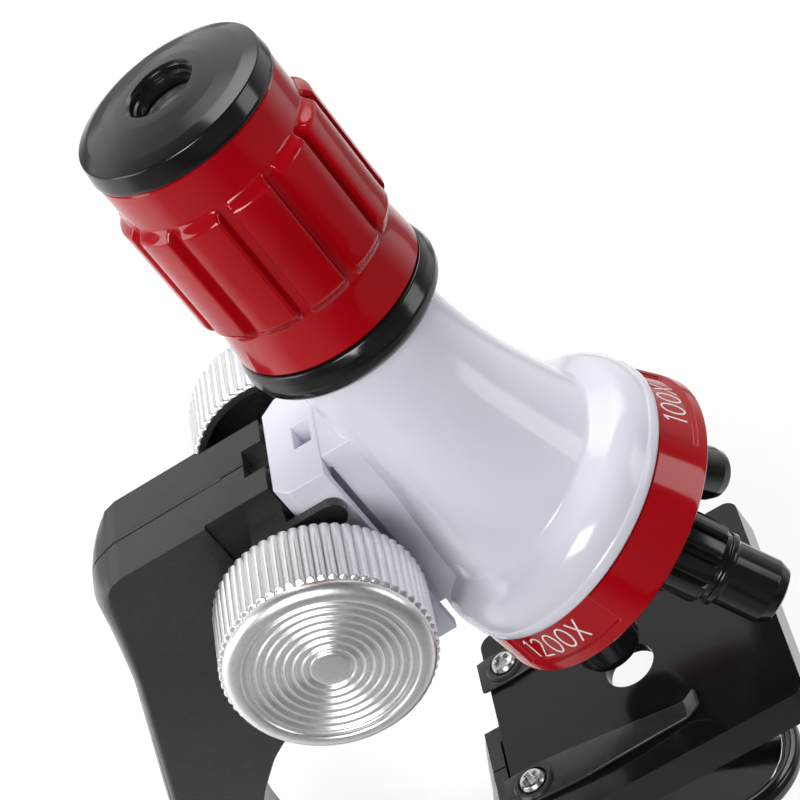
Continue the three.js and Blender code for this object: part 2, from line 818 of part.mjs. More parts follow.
function armScrew({ name, x, z }) {
  const head = [[2.8, 9.9], [2.8, 11.0], [2.0, 11.4], [0, 11.4]];
  const profile = [[0, -7.4], [1.3, -6.6], [1.3, 9.9], ...head];
  const made = mesh(`arm_screw_${name}`, turned(profile, 8), MATERIALS.steel);
  made.rotation.x = -Math.PI / 2;
  made.position.set(x, 0, z);
  return made;
}

// ---------------------------------------------------------------- stage and clips
function stage() {
  const { back, front, half, top, bottom } = STAGE;
  const plate = (inward, radius) =>
    roundedRect(back + inward, front - inward, inward - half, half - inward, radius);
  const skirt = prismZ(plate(0, 3), bottom, top - 0.6);
  const table = prismZ(plate(0.5, 2.6), top - 1, top);
  const pocket = prismZ(plate(2, 1.5), bottom - 1, top - 2.4);
  const pad = box(back + 1, -14, -11.2, 11.2, bottom, top - 1);
  const tenon = box(-33.0, -25.0, -7, 7, -171, -166.6);
  const tenonNeck = box(back, -25.0, -7, 7, -168, -165);
  const atClips = (build) => [-1, 1].map((side) => build().translate(CLIP_X, side * CLIP_Y, 0));
  const clipBosses = atClips(() => rod(3.6, bottom, top - 1, 10));
  const clipHoles = atClips(() => rod(1.6, bottom + 1, top + 1, 8));
  const hollow = cut(join(skirt, table), pocket);
  const whole = hollow.add(join(pad, tenon, tenonNeck, ...clipBosses));
  const lightHole = rod(STAGE_HOLE, bottom - 1, top + 1, 24);
  return mesh("stage", cut(whole, lightHole, ...clipHoles), MATERIALS.black);
}

function stageClip(side, sign) {
  const low = STAGE.top + GAP;
  const plan = [
    [-31.3, 12.8],
    [-31.3, 21.6],
    [-20.0, 22.4],
    [-4.0, 22.8],
    [9.4, 21.4],
    [9.4, 17.2],
    [-4.0, 15.8],
    [-18.0, 12.9],
  ].map(([x, y]) => [x, y * sign]);
  const leaf = prismZ(plan, low, low + 0.9);
  const tip = sideBox(sign, 8.4, 9.6, 17.3, 21.3, low + 0.2, low + 2.1);
  const hole = rod(1.7, low - 1, low + 2, 8).translate(CLIP_X, sign * CLIP_Y, 0);
  return mesh(`stage_clip_${side}`, cut(join(leaf, tip), hole), MATERIALS.satinBlack);
}

function clipScrew(side, sign) {
  const low = STAGE.top + 1.5;
  const shank = [[0, -164], [1.25, -163.4], [1.25, low]];
  const head = [[2.9, low], [2.9, low + 0.8], [2.0, low + 1.5], [0, low + 1.7]];
  const profile = [...shank, ...head];
  const made = mesh(`clip_screw_${side}`, turned(profile, 10), MATERIALS.steel);
  made.position.set(CLIP_X, sign * CLIP_Y, 0);
  return made;
}

// ---------------------------------------------------------------- mirror and lamp dish
function dishFork() {
  const plate = box(-21.2, -20.0, -23.0, 23.0, -197, -184);
  const arms = [-1, 1].map((sign) => sideBox(sign, -21.0, 3.5, 20.7, 23.0, -195, -188));
  const eyes = [-1, 1].map((sign) => sideRod(sign, 2.1, 0, DISH_Z, 18, 25, 10));
  return mesh("dish_fork", cut(join(plate, ...arms), ...eyes), MATERIALS.satinBlack);
}

function dish() {
  const body = turned(
    [
      [0, -2.8],
      [6.0, -2.8],
      [16.5, -2.8],
      [18.9, -1.8],
      [DISH_RADIUS, 0],
      [DISH_RADIUS, 1.4],
      [18.8, 2.6],
      [17.2, 2.8],
      [16.4, 1.9],
      [16.4, 0.6],
      [0, 0.6],
    ],
    28,
  );
  const pins = [-1, 1].map((sign) => sideRod(sign, 1.7, 0, 0, 18.4, 22.8, 8));
  const lampHole = rod(3.0, -4, 0, 12);
  return cut(join(body, ...pins), lampHole);
}

const mirror = () => turned([[0, 0.9], [16.0, 0.9], [16.0, 1.7], [0, 1.7]], 28);

function lampLens() {
  const outside = [[3.4, -3.1], [7.0, -3.1], [6.6, -4.4], [4.6, -5.6], [0, -6.2]];
  return turned([...outside, [0, -5.0], [3.4, -4.2]], 16);
}

const lampLed = () => turned([[0, -0.4], [2.5, -0.4], [2.5, -3.0], [1.6, -3.9], [0, -4.3]], 12);

function dishGroup() {
  const group = new THREE.Group();
  group.position.set(0, 0, DISH_Z);
  group.rotation.y = THREE.MathUtils.degToRad(DISH_TURN);
  group.add(
    mesh("lamp_dish", dish(), MATERIALS.satinBlack),
    mesh("mirror", mirror(), MATERIALS.mirror),
    mesh("lamp_lens", lampLens(), MATERIALS.glass),
    mesh("lamp_led", lampLed(), MATERIALS.glass),
  );
  return group;
}

// ---------------------------------------------------------------- base
function basePlan(grow) {
  const half = [
    [HEEL.back - grow, 0],
    [HEEL.back - grow, HEEL.half - 6],
    [HEEL.back + 1.8 - grow, HEEL.half - 1.8 + grow],
    [HEEL.back + 6, HEEL.half + grow],
    [HEEL.front - 8, HEEL.half + grow],
    [PRONG.back - 3, HEEL.half + 3 + grow],
    [PRONG.back + 6, PRONG.outer + grow],
    [PRONG.front - 5, PRONG.outer + grow],
    [PRONG.front - 1.4 + grow, PRONG.outer - 1.4 + grow],
    [PRONG.front + grow, PRONG.outer - 5],
  ];
  return [...half, ...half.slice(1).reverse().map(([x, y]) => [x, -y])];
}

function baseShell() {
  const { inner, outer } = PRONG;
  const end = PRONG.front - LID;
  const slab = prismZ(basePlan(0), SHELL_BOTTOM, HEEL.top);
  const well = box(WEB.front + 3, end + 8, -inner, inner, SHELL_BOTTOM - 1, 0);
  const blockPlan = [[66, inner], [66, 31], [70, outer], [end, outer], [end, inner]];
  const blocks = [-1, 1].map((sign) =>
    prismZ(blockPlan.map(([x, y]) => [x, y * sign]), SHELL_BOTTOM, PRONG.top),
  );
  const web = box(WEB.back, WEB.front + 4, -inner - 1, inner + 1, SHELL_BOTTOM, WEB.top);
  const ear = (sign) => {
    const arc = [0, 30, 60, 90, 120, 150, 180].map((degrees) => {
      const angle = THREE.MathUtils.degToRad(degrees);
      return [
        HINGE_LEVEL_X + EAR_RADIUS * Math.cos(angle),
        HINGE_LEVEL_Z + EAR_RADIUS * Math.sin(angle),
      ];
    });
    const foot = [-1, 1].map((end) => [HINGE_LEVEL_X + end * EAR_RADIUS, WEB.top - 2]);
    return sidePrism(sign, [...arc, ...foot], ARM_HALF + GAP, HINGE_SPAN);
  };
  const solidPart = join(slab, ...blocks, web, ear(-1), ear(1));
  const under = SHELL_BOTTOM - 1;
  const heelHalf = HEEL.half - 2;
  const heelHollow = box(HEEL.back + 2, PRONG.back + 4, -heelHalf, heelHalf, under, HEEL.top - 2);
  const prongHollows = [-1, 1].map((sign) =>
    sideBox(sign, 68, end + 4, inner + 1.7, outer - 1.7, under, PRONG.top - 1.8),
  );
  const webHollow = box(WEB.back + 2, WEB.front + 1.5, -18, 18, under, WEB.top - 2);
  const hingeHole = crossRod(2.9, HINGE_LEVEL_X, HINGE_LEVEL_Z, -20, 20, 10);
  const switchSlot = box(84, 95, 27.4, 30.1, PRONG.top - 4, PRONG.top + 1);
  const hollows = [well, heelHollow, ...prongHollows, webHollow];
  const lidSpace = box(end, end + 8, -50, 50, SHELL_BOTTOM - 5, 0);
  const made = cut(solidPart, ...hollows, hingeHole, switchSlot, lidSpace);
  return mesh("base_shell", made, MATERIALS.satinBlack);
}

function basePlate() {
  const plate = prismZ(basePlan(0), PLATE_BOTTOM, SHELL_BOTTOM - GAP);
  return mesh("base_plate", plate, MATERIALS.satinBlack);
}

function baseFoot(name, x, y) {
  const foot = rod(4.2, FLOOR, PLATE_BOTTOM - GAP, 12).translate(x, y, 0);
  return mesh(`foot_${name}`, foot, MATERIALS.rubber);
}

function hingeBolt() {
  const head = [[0, -19.3], [4.6, -19.0], [5.6, -17.8], [5.6, -16.3]];
  const bolt = turned([...head, [2.5, -16.3], [2.5, 20.6], [0, 20.6]], 12);
  const made = mesh("hinge_bolt", bolt, MATERIALS.steel);
  made.rotation.x = -Math.PI / 2;
  made.position.set(HINGE_LEVEL_X, 0, HINGE_LEVEL_Z);
  return made;
}

function hingeNut() {
  const hexagon = wheelOutline(6, [[0, 6.2]]);
  const nut = cut(solid(prismZ(hexagon, 16.3, 20.0)), rod(2.8, 10, 25, 10));
  const made = mesh("hinge_nut", nut, MATERIALS.steel);
  made.rotation.x = -Math.PI / 2;
  made.position.set(HINGE_LEVEL_X, 0, HINGE_LEVEL_Z);
  return made;
}

const CELL_Y = (PRONG.inner + PRONG.outer) / 2;
const CELL_BACK = 71.5;

function cell(side, sign) {
  const profile = [
    [0, 0],
    [CELL_RADIUS - 0.4, 0],
    [CELL_RADIUS, 0.4],
    [CELL_RADIUS, CELL_LENGTH - 1.6],
    [CELL_RADIUS - 0.6, CELL_LENGTH - 1.0],
    [1.9, CELL_LENGTH - 1.0],
    [1.9, CELL_LENGTH],
    [0, CELL_LENGTH],
  ];
  const made = mesh(`cell_${side}`, turned(profile, 12).rotateY(Math.PI / 2), MATERIALS.cell);
  made.position.set(CELL_BACK, sign * CELL_Y, CELL_Z);
  return made;
}

function cellSpring(side, sign) {
  const profile = [[0, -3.0], [4.2, -3.0], [4.2, -2.4], [3.2, -1.6], [2.4, -0.4], [0, -0.4]];
  const shape = turned(profile, 10).rotateY(Math.PI / 2);
  const made = mesh(`cell_spring_${side}`, shape, MATERIALS.steel);
  made.position.set(CELL_BACK, sign * CELL_Y, CELL_Z);
  return made;
}

function cellCap(side, sign) {
  const { front, inner, outer, top } = PRONG;
  const lid = sideBox(sign, front - LID + GAP, front, inner, outer, SHELL_BOTTOM, top);
  const [plugInner, plugOuter] = [inner + 2.1, outer - 2.1];
  const [plugLow, plugHigh] = [SHELL_BOTTOM + 0.6, top - 2.2];
  const plug = sideBox(sign, front - LID - 1, front - 2, plugInner, plugOuter, plugLow, plugHigh);
  const [gripLow, gripHigh] = [CELL_Z - 1.4, CELL_Z + 1.4];
  const grip = sideBox(sign, front - 0.8, front + 1, inner + 4, outer - 4, gripLow, gripHigh);
  return mesh(`cell_cap_${side}`, cut(join(lid, plug), grip), MATERIALS.satinBlack);
}

function cellPlate(side, sign) {
  const x = CELL_BACK + CELL_LENGTH;
  const [low, high] = [CELL_Z - 3.5, CELL_Z + 3.5];
  const plate = sideBox(sign, x + 0.2, x + 0.7, CELL_Y - 3.5, CELL_Y + 3.5, low, high);
  return mesh(`cell_plate_${side}`, plate, MATERIALS.steel);
}

function switchSlider() {
  const top = PRONG.top;
  const thumb = box(84.6, 90.0, 26.4, 31.1, top + GAP, top + 1.8);
  const stem = box(85.0, 89.6, 27.8, 29.7, top - 2.6, top + 1);
  const foot = box(84.6, 90.0, 26.8, 30.7, top - 3.2, top - 2.2);
  const made = join(thumb, stem, foot);
  return mesh("lamp_switch", made, MATERIALS.red);
}

// ---------------------------------------------------------------- assembly
const tube = new THREE.Group();
tube.rotation.y = -LEAN;
tube.add(eyepieceCap(), eyeLens(), lensRetainer(), zoomBarrel());
tube.add(collar(), drawTube(), fieldLens(), headBody(), focusRack());
tube.add(focusShaft(), focusPinion(), ...onBothSides(focusKnob));
tube.add(...onBothSides(armShell), ...ARM_BOSSES.map(armScrew));
tube.add(stage(), ...onBothSides(stageClip), ...onBothSides(clipScrew));
tube.add(dishFork(), dishGroup());

const turret = new THREE.Group();
turret.position.set(0, 0, APEX_Z);
turret.rotation.set(0, -NOSE, 0);
const turn = new THREE.Group();
turn.rotation.z = THREE.MathUtils.degToRad(TURRET_TURN);
turn.add(turretRing(), turretPlate(), turretScrew());
for (const [size, azimuth] of Object.entries(AZIMUTHS)) {
  turn.add(objective(size, azimuth), objectiveLens(size, azimuth));
}
turret.add(turn);
tube.add(turret);

const base = new THREE.Group();
base.add(baseShell(), basePlate(), hingeBolt(), hingeNut(), switchSlider());
base.add(...onBothSides(cell), ...onBothSides(cellSpring));
base.add(...onBothSides(cellCap), ...onBothSides(cellPlate));
base.add(baseFoot("front_left", 110, -CELL_Y), baseFoot("front_right", 110, CELL_Y));
base.add(baseFoot("back_left", 28, -13), baseFoot("back_right", 28, 13));

const microscope = new THREE.Group();
microscope.add(tube, base);

// The origin is the middle of the footprint's bounding box, on the table.
microscope.updateMatrixWorld(true);
const bounds = new THREE.Box3().setFromObject(microscope, true);
const centre = bounds.getCenter(new THREE.Vector3());
microscope.position.set(-centre.x, -centre.y, -bounds.min.z);

export default microscope;
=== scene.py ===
"""Looks for a toy microscope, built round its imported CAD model.

Lengths are in millimetres until a mesh is placed. Everything on the arm is built in the tube
frame: Z runs up the optical axis, X points to the front, and the origin is the centre of the
eyepiece cap's top edge. The turret and the objectives have frames of their own, whose origin is
the apex, where their axes cross.
"""

import contextlib
import json
import math

import bmesh
import bpy
import numpy as np
from mathutils import Matrix, Vector


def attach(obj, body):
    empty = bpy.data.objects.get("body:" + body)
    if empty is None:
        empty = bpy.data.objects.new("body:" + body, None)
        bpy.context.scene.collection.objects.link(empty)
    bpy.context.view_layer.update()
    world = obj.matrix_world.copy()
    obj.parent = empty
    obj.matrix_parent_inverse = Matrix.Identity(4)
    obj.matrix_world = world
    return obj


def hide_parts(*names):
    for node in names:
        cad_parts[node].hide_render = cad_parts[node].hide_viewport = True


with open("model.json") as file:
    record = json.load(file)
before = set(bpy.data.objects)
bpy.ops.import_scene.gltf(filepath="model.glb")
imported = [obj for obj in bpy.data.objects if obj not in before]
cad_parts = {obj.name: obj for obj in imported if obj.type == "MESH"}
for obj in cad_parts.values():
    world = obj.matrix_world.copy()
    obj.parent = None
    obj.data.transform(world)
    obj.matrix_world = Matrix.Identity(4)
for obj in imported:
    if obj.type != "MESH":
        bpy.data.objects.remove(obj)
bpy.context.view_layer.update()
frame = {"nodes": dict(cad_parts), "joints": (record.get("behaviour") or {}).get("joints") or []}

# -------------------------------- driving dimensions
MM = 0.001
APEX_DEPTH = 88.35  # from the cap's top edge down to the apex
NOSE_ANGLE = math.radians(20.7)
TURRET_TURN = math.radians(5.3)
AZIMUTHS = {"short": 180, "long": 60, "medium": -60}

CAP_RADIUS = 18.0
CAP_SIDE = 4.0
EYE_HOLE = 6.2
BAND_RADIUS = 18.2
LAND_RADIUS = 20.0
LAND_COUNT = 12
CHANNEL_DEPTH = 0.25
BARREL_TOP = -4.3
BARREL_BOTTOM = -48.2
COLLAR_BOTTOM = -55.3

RING_TOP = 27.4
RING_BOTTOM = 37.1
RING_TOP_RADIUS = 28.2
RING_BOTTOM_RADIUS = 30.5
PANEL_HALF = math.radians(25.0)
PANEL_LOW = 34.7
PANEL_DEPTH = 0.9

KNOB_X = -31.35
KNOB_Z = -90.02
KNOB_RIBS = 62
KNOB_RIB_DEPTH = 0.95
KNOB_BACK = 22.3
KNOB_FACE = 39.95
KNOB_RING = 15.35  # the outermost ring on the face
KNOB_RING_STEP = 1.636

ARM_HALF = 11.4
ARM_TOP = -70.4
ARM_FRONT = -28.3
ARM_STEP = -42.0  # in front of this the sides are set in
ARM_RECESS = 1.0
HINGE = (-30.0, -194.5)
HINGE_RADIUS = 8.0

STAGE = {"back": -29.9, "front": 31.1, "half": 28.9, "top": -158.6, "bottom": -166.0}
STAGE_HOLE = 5.25
CLIP_X = -25.1
CLIP_Y = 17.2
DISH_TURN = math.radians(16)

# the studio, in metres
TABLE = (-4.0, 4.0, -2.0, 6.0)
TABLE_TOP = -0.0002
PAINTED_SHADE_SPAN = (-0.60, -0.05)  # painted shade: the floor's colour darkens from the microscope's front towards the viewer, standing in for the light falling off
PAINTED_SHADE_STOPS = [(0.0, 0.03), (0.45, 0.18), (0.85, 0.30), (1.0, 1.0)]
# grey of the surroundings by the sine of the height
SWEEP = [(-0.40, 0.05), (-0.12, 0.50), (0.0, 1.0), (0.17, 1.0)]
SWEEP += [(0.36, 0.62), (0.58, 0.50), (0.80, 0.20), (1.0, 0.15)]
BEHIND = [(0.0, 0.16), (0.15, 0.40), (0.45, 1.0)]  # the surroundings are lit behind the table
GLOW = (-0.10, 0.80, 0.592)  # the soft glow of the ceiling behind
GLOW_STOPS = [(0.90, 0.0), (0.99, 1.0)]
GLOW_STRENGTH = 0.6
LIGHTS = [
    # name, position, aim, size, watts, spread in degrees
    ("overhead", (-0.1, 0.60, 0.95), (0.0, 0.40, 0.0), (1.0, 0.7), 3.2, 90),
    ("right", (0.72, -0.153, 0.575), (0.0, 0.0, 0.15), (0.34, 0.44), 1.3, 180),
    ("front", (-0.30, -0.80, 0.50), (0.0, 0.0, 0.16), (0.5, 0.36), 5.6, 180),
    ("left", (-0.50, -0.12, 0.13), (0.0, 0.0, 0.16), (0.3, 0.3), 1.0, 180),
]
CAMERA_PLACE = (-13.4, -389.35, 222.3)  # in millimetres from the middle of the cap's top edge
CAMERA_SIGHT = (0.1070, 0.79995, -0.5905)
CAMERA_SENSOR = 36
CAMERA_LENS = 121.6

JOINTS = {joint["name"]: joint for joint in frame["joints"]}


# -------------------------------- frames
def basis(up, origin):
    """Z along up, X level with it towards the front, Y across."""
    z = Vector(up).normalized()
    y = Vector((0, 1, 0))
    axes = Matrix((y.cross(z), y, z)).transposed().to_4x4()
    return Matrix.Translation(origin) @ axes


def turn(angle, axis):
    return Matrix.Rotation(angle, 4, axis)


APEX = Vector(JOINTS["turret_turn"]["pos_m"])
TUBE_UP = Vector(JOINTS["focus_slide"]["axis"])
TUBE = basis(TUBE_UP, APEX + TUBE_UP * APEX_DEPTH * MM)
TURRET = basis(JOINTS["turret_turn"]["axis"], APEX) @ turn(TURRET_TURN, "Z")
DISH = basis(TUBE_UP, JOINTS["dish_flip"]["pos_m"]) @ turn(DISH_TURN, "Y")


def in_tube(x, y, z):
    """A frame with the tube's directions at a point of the tube frame."""
    return TUBE @ Matrix.Translation((x * MM, y * MM, z * MM))


def across(sign, x, z):
    """A frame at (x, z) whose Z points out to one side."""
    return in_tube(x, 0, z) @ turn(-sign * math.pi / 2, "X")


def objective_frame(size):
    return TURRET @ turn(math.radians(AZIMUTHS[size]), "Z") @ turn(-NOSE_ANGLE, "Y")


# -------------------------------- outlines
def filleted(points, radius, steps=4, closed=False):
    """The outline with its corners rounded; a point may carry a radius of its own."""
    flat = [Vector(p[:2]) for p in points]
    radii = [p[2] if len(p) > 2 else radius for p in points]
    count = len(flat)
    made = []
    for i, here in enumerate(flat):
        if not closed and i in (0, count - 1):
            made.append(tuple(here))
            continue
        before = flat[i - 1] - here
        after = flat[(i + 1) % count] - here
        if radii[i] <= 0 or before.length < 1e-6 or after.length < 1e-6:
            made.append(tuple(here))
            continue
        bend = math.pi - before.angle(after)
        reach = radii[i] * math.tan(bend / 2)
        reach = min(reach, 0.48 * before.length, 0.48 * after.length)
        start = here + before.normalized() * reach
        end = here + after.normalized() * reach
        for k in range(steps + 1):
            t = k / steps
            made.append(tuple(start * (1 - t) ** 2 + here * 2 * t * (1 - t) + end * t * t))
    return made


def curve_through(points, steps):
    """A smooth line through the points."""
    p = np.array(points, float)
    p = np.vstack([2 * p[0] - p[1], p, 2 * p[-1] - p[-2]])
    made = []
    for a, b, c, d in zip(p, p[1:], p[2:], p[3:]):
        bend = 2 * a - 5 * b + 4 * c - d
        twist = 3 * b - a - 3 * c + d
        for k in range(steps):
            t = k / steps
            made.append(0.5 * (2 * b + (c - a) * t + bend * t**2 + twist * t**3))
    made.append(p[-2])
    return [tuple(q) for q in made]


def arc(cx, cy, radius, start, end, steps):
    angles = [math.radians(start + (end - start) * k / steps) for k in range(steps + 1)]
    return [(cx + radius * math.cos(a), cy + radius * math.sin(a)) for a in angles]


def rounded_rect(x0, x1, y0, y1, radius, steps=7):
    corners = [
        (x1 - radius, y1 - radius, 0),
        (x0 + radius, y1 - radius, 90),
        (x0 + radius, y0 + radius, 180),
        (x1 - radius, y0 + radius, 270),
    ]
    return [p for cx, cy, a in corners for p in arc(cx, cy, radius, a, a + 90, steps)]


def unit(vectors):
    return vectors / np.linalg.norm(vectors, axis=-1, keepdims=True)


def smoothstep(low, high, value):
    t = np.clip((value - low) / (high - low), 0, 1)
    return t * t * (3 - 2 * t)


# -------------------------------- meshes
@contextlib.contextmanager
def editing(mesh):
    """The mesh open for editing, and written back at the end."""
    edit = bmesh.new()
    edit.from_mesh(mesh)
    yield edit
    edit.to_mesh(mesh)
    edit.free()


def in_scene(name, data):
    """A new object for a mesh, light or camera."""
    made = bpy.data.objects.new(name, data)
    bpy.context.scene.collection.objects.link(made)
    return made


def place(name, mesh, matrix, materials, sharp=35):
    """The mesh, in millimetres of a frame, as an object in the part's frame."""
    with editing(mesh) as edit:
        bmesh.ops.remove_doubles(edit, verts=edit.verts, dist=1e-5)
        bmesh.ops.dissolve_degenerate(edit, edges=edit.edges, dist=1e-6)
        bmesh.ops.recalc_face_normals(edit, faces=edit.faces)
    mesh.transform(matrix @ Matrix.Scale(MM, 4))
    mesh.name = name
    mesh.shade_smooth()
    mesh.set_sharp_from_angle(angle=math.radians(sharp))
    for material in materials if isinstance(materials, list) else [materials]:
        mesh.materials.append(material)
    return in_scene(name, mesh)


def keep_flats(piece):
    """Flat faces stay flat beside their rounded edges."""
    modifier = piece.modifiers.new("flats", "WEIGHTED_NORMAL")
    modifier.keep_sharp = True
    modifier.weight = 80
    return piece


def grid_mesh(rows, loop=False):
    """A mesh through rows of points, closed round each row; loop also joins last row to first."""
    rows = np.asarray(rows, float)
    count, around = rows.shape[:2]
    i = np.arange(count if loop else count - 1)[:, None]
    j = np.arange(around)[None, :]
    here = i * around
    below = (i + 1) % count * around
    right = (j + 1) % around
    quads = np.stack([here + j, here + right, below + right, below + j], axis=-1)
    mesh = bpy.data.meshes.new("grid")
    mesh.from_pydata(rows.reshape(-1, 3).tolist(), [], quads.reshape(-1, 4).tolist())
    return mesh


def spun(profile, segments, radius_at=None):
    """Rows of points of a [radius, height] profile turned about Z."""
    angles = np.linspace(0, 2 * math.pi, segments, endpoint=False)
    level = np.ones(segments)
    rows = []
    for r, z in profile:
        radius = radius_at(r, z, angles) if radius_at else r * level
        rows.append(np.stack([radius * np.cos(angles), radius * np.sin(angles), z * level], -1))
    return np.array(rows)


def lathe(name, profile, matrix, material, segments, fillet, loop=True):
    """A turned piece. A loop profile closes on itself; any other starts and ends on the axis."""
    line = filleted(profile, fillet, closed=loop)
    return place(name, grid_mesh(spun(line, segments), loop), matrix, material)


def prism(points, z0, z1):
    """A closed mesh of an outline raised from z0 to z1."""
    count = len(points)
    vertices = [(x, y, z) for z in (z0, z1) for x, y in points]
    faces = [list(range(count))[::-1], list(range(count, 2 * count))]
    faces += [[i, (i + 1) % count, count + (i + 1) % count, count + i] for i in range(count)]
    mesh = bpy.data.meshes.new("prism")
    mesh.from_pydata(vertices, [], faces)
    return outward(mesh)


def outward(mesh):
    """The mesh with its seams closed and its faces pointing out."""
    with editing(mesh) as edit:
        bmesh.ops.remove_doubles(edit, verts=edit.verts, dist=1e-6)
        bmesh.ops.recalc_face_normals(edit, faces=edit.faces)
    return mesh


def block(x0, x1, y0, y1, z0, z1):
    return prism([(x0, y0), (x1, y0), (x1, y1), (x0, y1)], z0, z1)


def circle(x, y, radius, steps):
    return arc(x, y, radius, 0, 360 * (1 - 1 / steps), steps - 1)


def cylinder(radius, x, y, z0, z1, steps=32):
    return prism(circle(x, y, radius, steps), z0, z1)


def turned_mesh(mesh, matrix):
    mesh.transform(matrix)
    return mesh


def prism_y(points, y0, y1):
    """A closed mesh of an outline in X and Z carried from y0 to y1."""
    mesh = prism(points, -y1, -y0)
    return turned_mesh(mesh, turn(math.pi / 2, "X"))


def cylinder_y(radius, x, z, y0, y1):
    return prism_y(circle(x, z, radius, 32), y0, y1)


def carve(base, joins=(), cuts=()):
    """The base mesh with other meshes joined on, then others cut away."""
    body = in_scene("carved", base)
    tools = []
    for operation, meshes in (("UNION", joins), ("DIFFERENCE", cuts)):
        for mesh in meshes:
            tool = in_scene("tool", mesh)
            tools.append(tool)
            modifier = body.modifiers.new("carve", "BOOLEAN")
            modifier.operation = operation
            modifier.solver = "EXACT"
            modifier.object = tool
    made = baked(body)
    for tool in tools:
        bpy.data.objects.remove(tool)
    return made


def baked(body):
    """The object's mesh with its modifiers applied; the object goes."""
    depsgraph = bpy.context.evaluated_depsgraph_get()
    made = bpy.data.meshes.new_from_object(body.evaluated_get(depsgraph))
    bpy.data.objects.remove(body)
    return made


def edged(mesh, width, segments=3, angle=30):
    """The mesh with its sharp edges rounded."""
    with editing(mesh) as edit:
        bmesh.ops.remove_doubles(edit, verts=edit.verts, dist=1e-4)
        flat = math.radians(1)
        bmesh.ops.dissolve_limit(edit, angle_limit=flat, verts=edit.verts, edges=edit.edges)
    body = in_scene("edged", mesh)
    modifier = body.modifiers.new("bevel", "BEVEL")
    modifier.width = width
    modifier.segments = segments
    modifier.limit_method = "ANGLE"
    modifier.angle_limit = math.radians(angle)
    return baked(body)


def put_on(piece, body, slot, *nodes):
    """The piece rides on a body and stands for CAD nodes; the slot argument is not used."""
    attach(piece, body)
    if nodes:
        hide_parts(*nodes)


# -------------------------------- materials
class Tree:
    """A node tree, with short ways to add the nodes that the looks are made of."""

    def __init__(self, tree):
        self.nodes = tree.nodes
        self.links = tree.links

    def feed(self, node, inputs):
        """Each named input of the node gets a link or a value."""
        for name, value in inputs.items():
            if isinstance(value, bpy.types.NodeSocket):
                self.links.new(value, node.inputs[name])
            else:
                node.inputs[name].default_value = value
        return node

    def add(self, kind, inputs):
        return self.feed(self.nodes.new("ShaderNode" + kind), inputs)

    def coordinates(self, kind):
        return self.nodes.new("ShaderNodeTexCoord").outputs[kind]

    def split(self, vector):
        return self.add("SeparateXYZ", {"Vector": vector}).outputs

    def rescaled(self, value, low, high=1.0):
        """The value, from low to high, as a share from 0 to 1."""
        inputs = {"Value": value, "From Min": low, "From Max": high}
        return self.add("MapRange", inputs).outputs["Result"]

    def noise(self, scale, detail, roughness=0.5, stretch=None):
        """A noise in the object's own coordinates."""
        source = self.coordinates("Object")
        if stretch:
            source = self.add("Mapping", {"Vector": source, "Scale": stretch}).outputs["Vector"]
        inputs = {"Vector": source, "Scale": scale, "Detail": detail, "Roughness": roughness}
        return self.add("TexNoise", inputs).outputs["Fac"]

    def ramp(self, source, stops):
        """Colours or greys along a value; stops are (place, colour)."""
        made = self.add("ValToRGB", {"Fac": source})
        elements = made.color_ramp.elements
        while len(elements) < len(stops):
            elements.new(0.5)
        for element, (where, color) in zip(elements, stops):
            element.position = where
            grey = color if hasattr(color, "__len__") else (color, color, color)
            element.color = (*grey, 1)
        return made.outputs["Color"]

    def vector(self, operation, *values):
        """Vector arithmetic on links or values."""
        made = self.nodes.new("ShaderNodeVectorMath")
        made.operation = operation
        return self.feed(made, dict(enumerate(values))).outputs

    def mix(self, blend, inputs):
        """Two colours mixed; inputs are A, B and Factor."""
        made = self.nodes.new("ShaderNodeMix")
        made.data_type = "RGBA"
        made.blend_type = blend
        return self.feed(made, inputs).outputs["Result"]


class Look(Tree):
    """A new material, with its shader."""

    def __init__(self, name):
        self.material = bpy.data.materials.new(name)
        self.material.use_nodes = True
        super().__init__(self.material.node_tree)
        self.shader = self.nodes["Principled BSDF"]

    def finished(self, color, roughness, bumps=(), **others):
        """The shader fed, with bumps laid on each other as (height, depth in metres)."""
        inputs = {name.replace("_", " "): value for name, value in others.items()}
        for height, depth in bumps:
            values = {"Height": height, "Strength": 1.0, "Distance": depth}
            if "Normal" in inputs:
                values["Normal"] = inputs["Normal"]
            inputs["Normal"] = self.add("Bump", values).outputs["Normal"]
        self.feed(self.shader, {"Base Color": color, "Roughness": roughness, **inputs})
        return self.material


DUST_COLOR = (0.45, 0.44, 0.42, 1)


def moulded(name, dark, light, rough, grain=0.0, specks=0.0):
    """Injection-moulded plastic: faint flow marks in colour, haze in the gloss, and dust."""
    look = Look(name)
    cloud = look.noise(55, 3)
    haze = look.noise(260, 5, 0.6)
    color = look.ramp(cloud, [(0.35, dark), (0.65, light)])
    if specks:
        dust = look.ramp(look.noise(2300, 2, 0.4), [(0.77, 0.0), (0.81, specks)])
        color = look.mix("MIX", {"A": color, "B": DUST_COLOR, "Factor": dust})
    bumps = [(cloud, 0.00002)]
    if grain:
        bumps.append((look.noise(5200, 2), grain))
    gloss = look.ramp(haze, [(0.3, rough * 0.8), (0.75, rough * 1.3)])
    return look.finished(color, gloss, bumps)


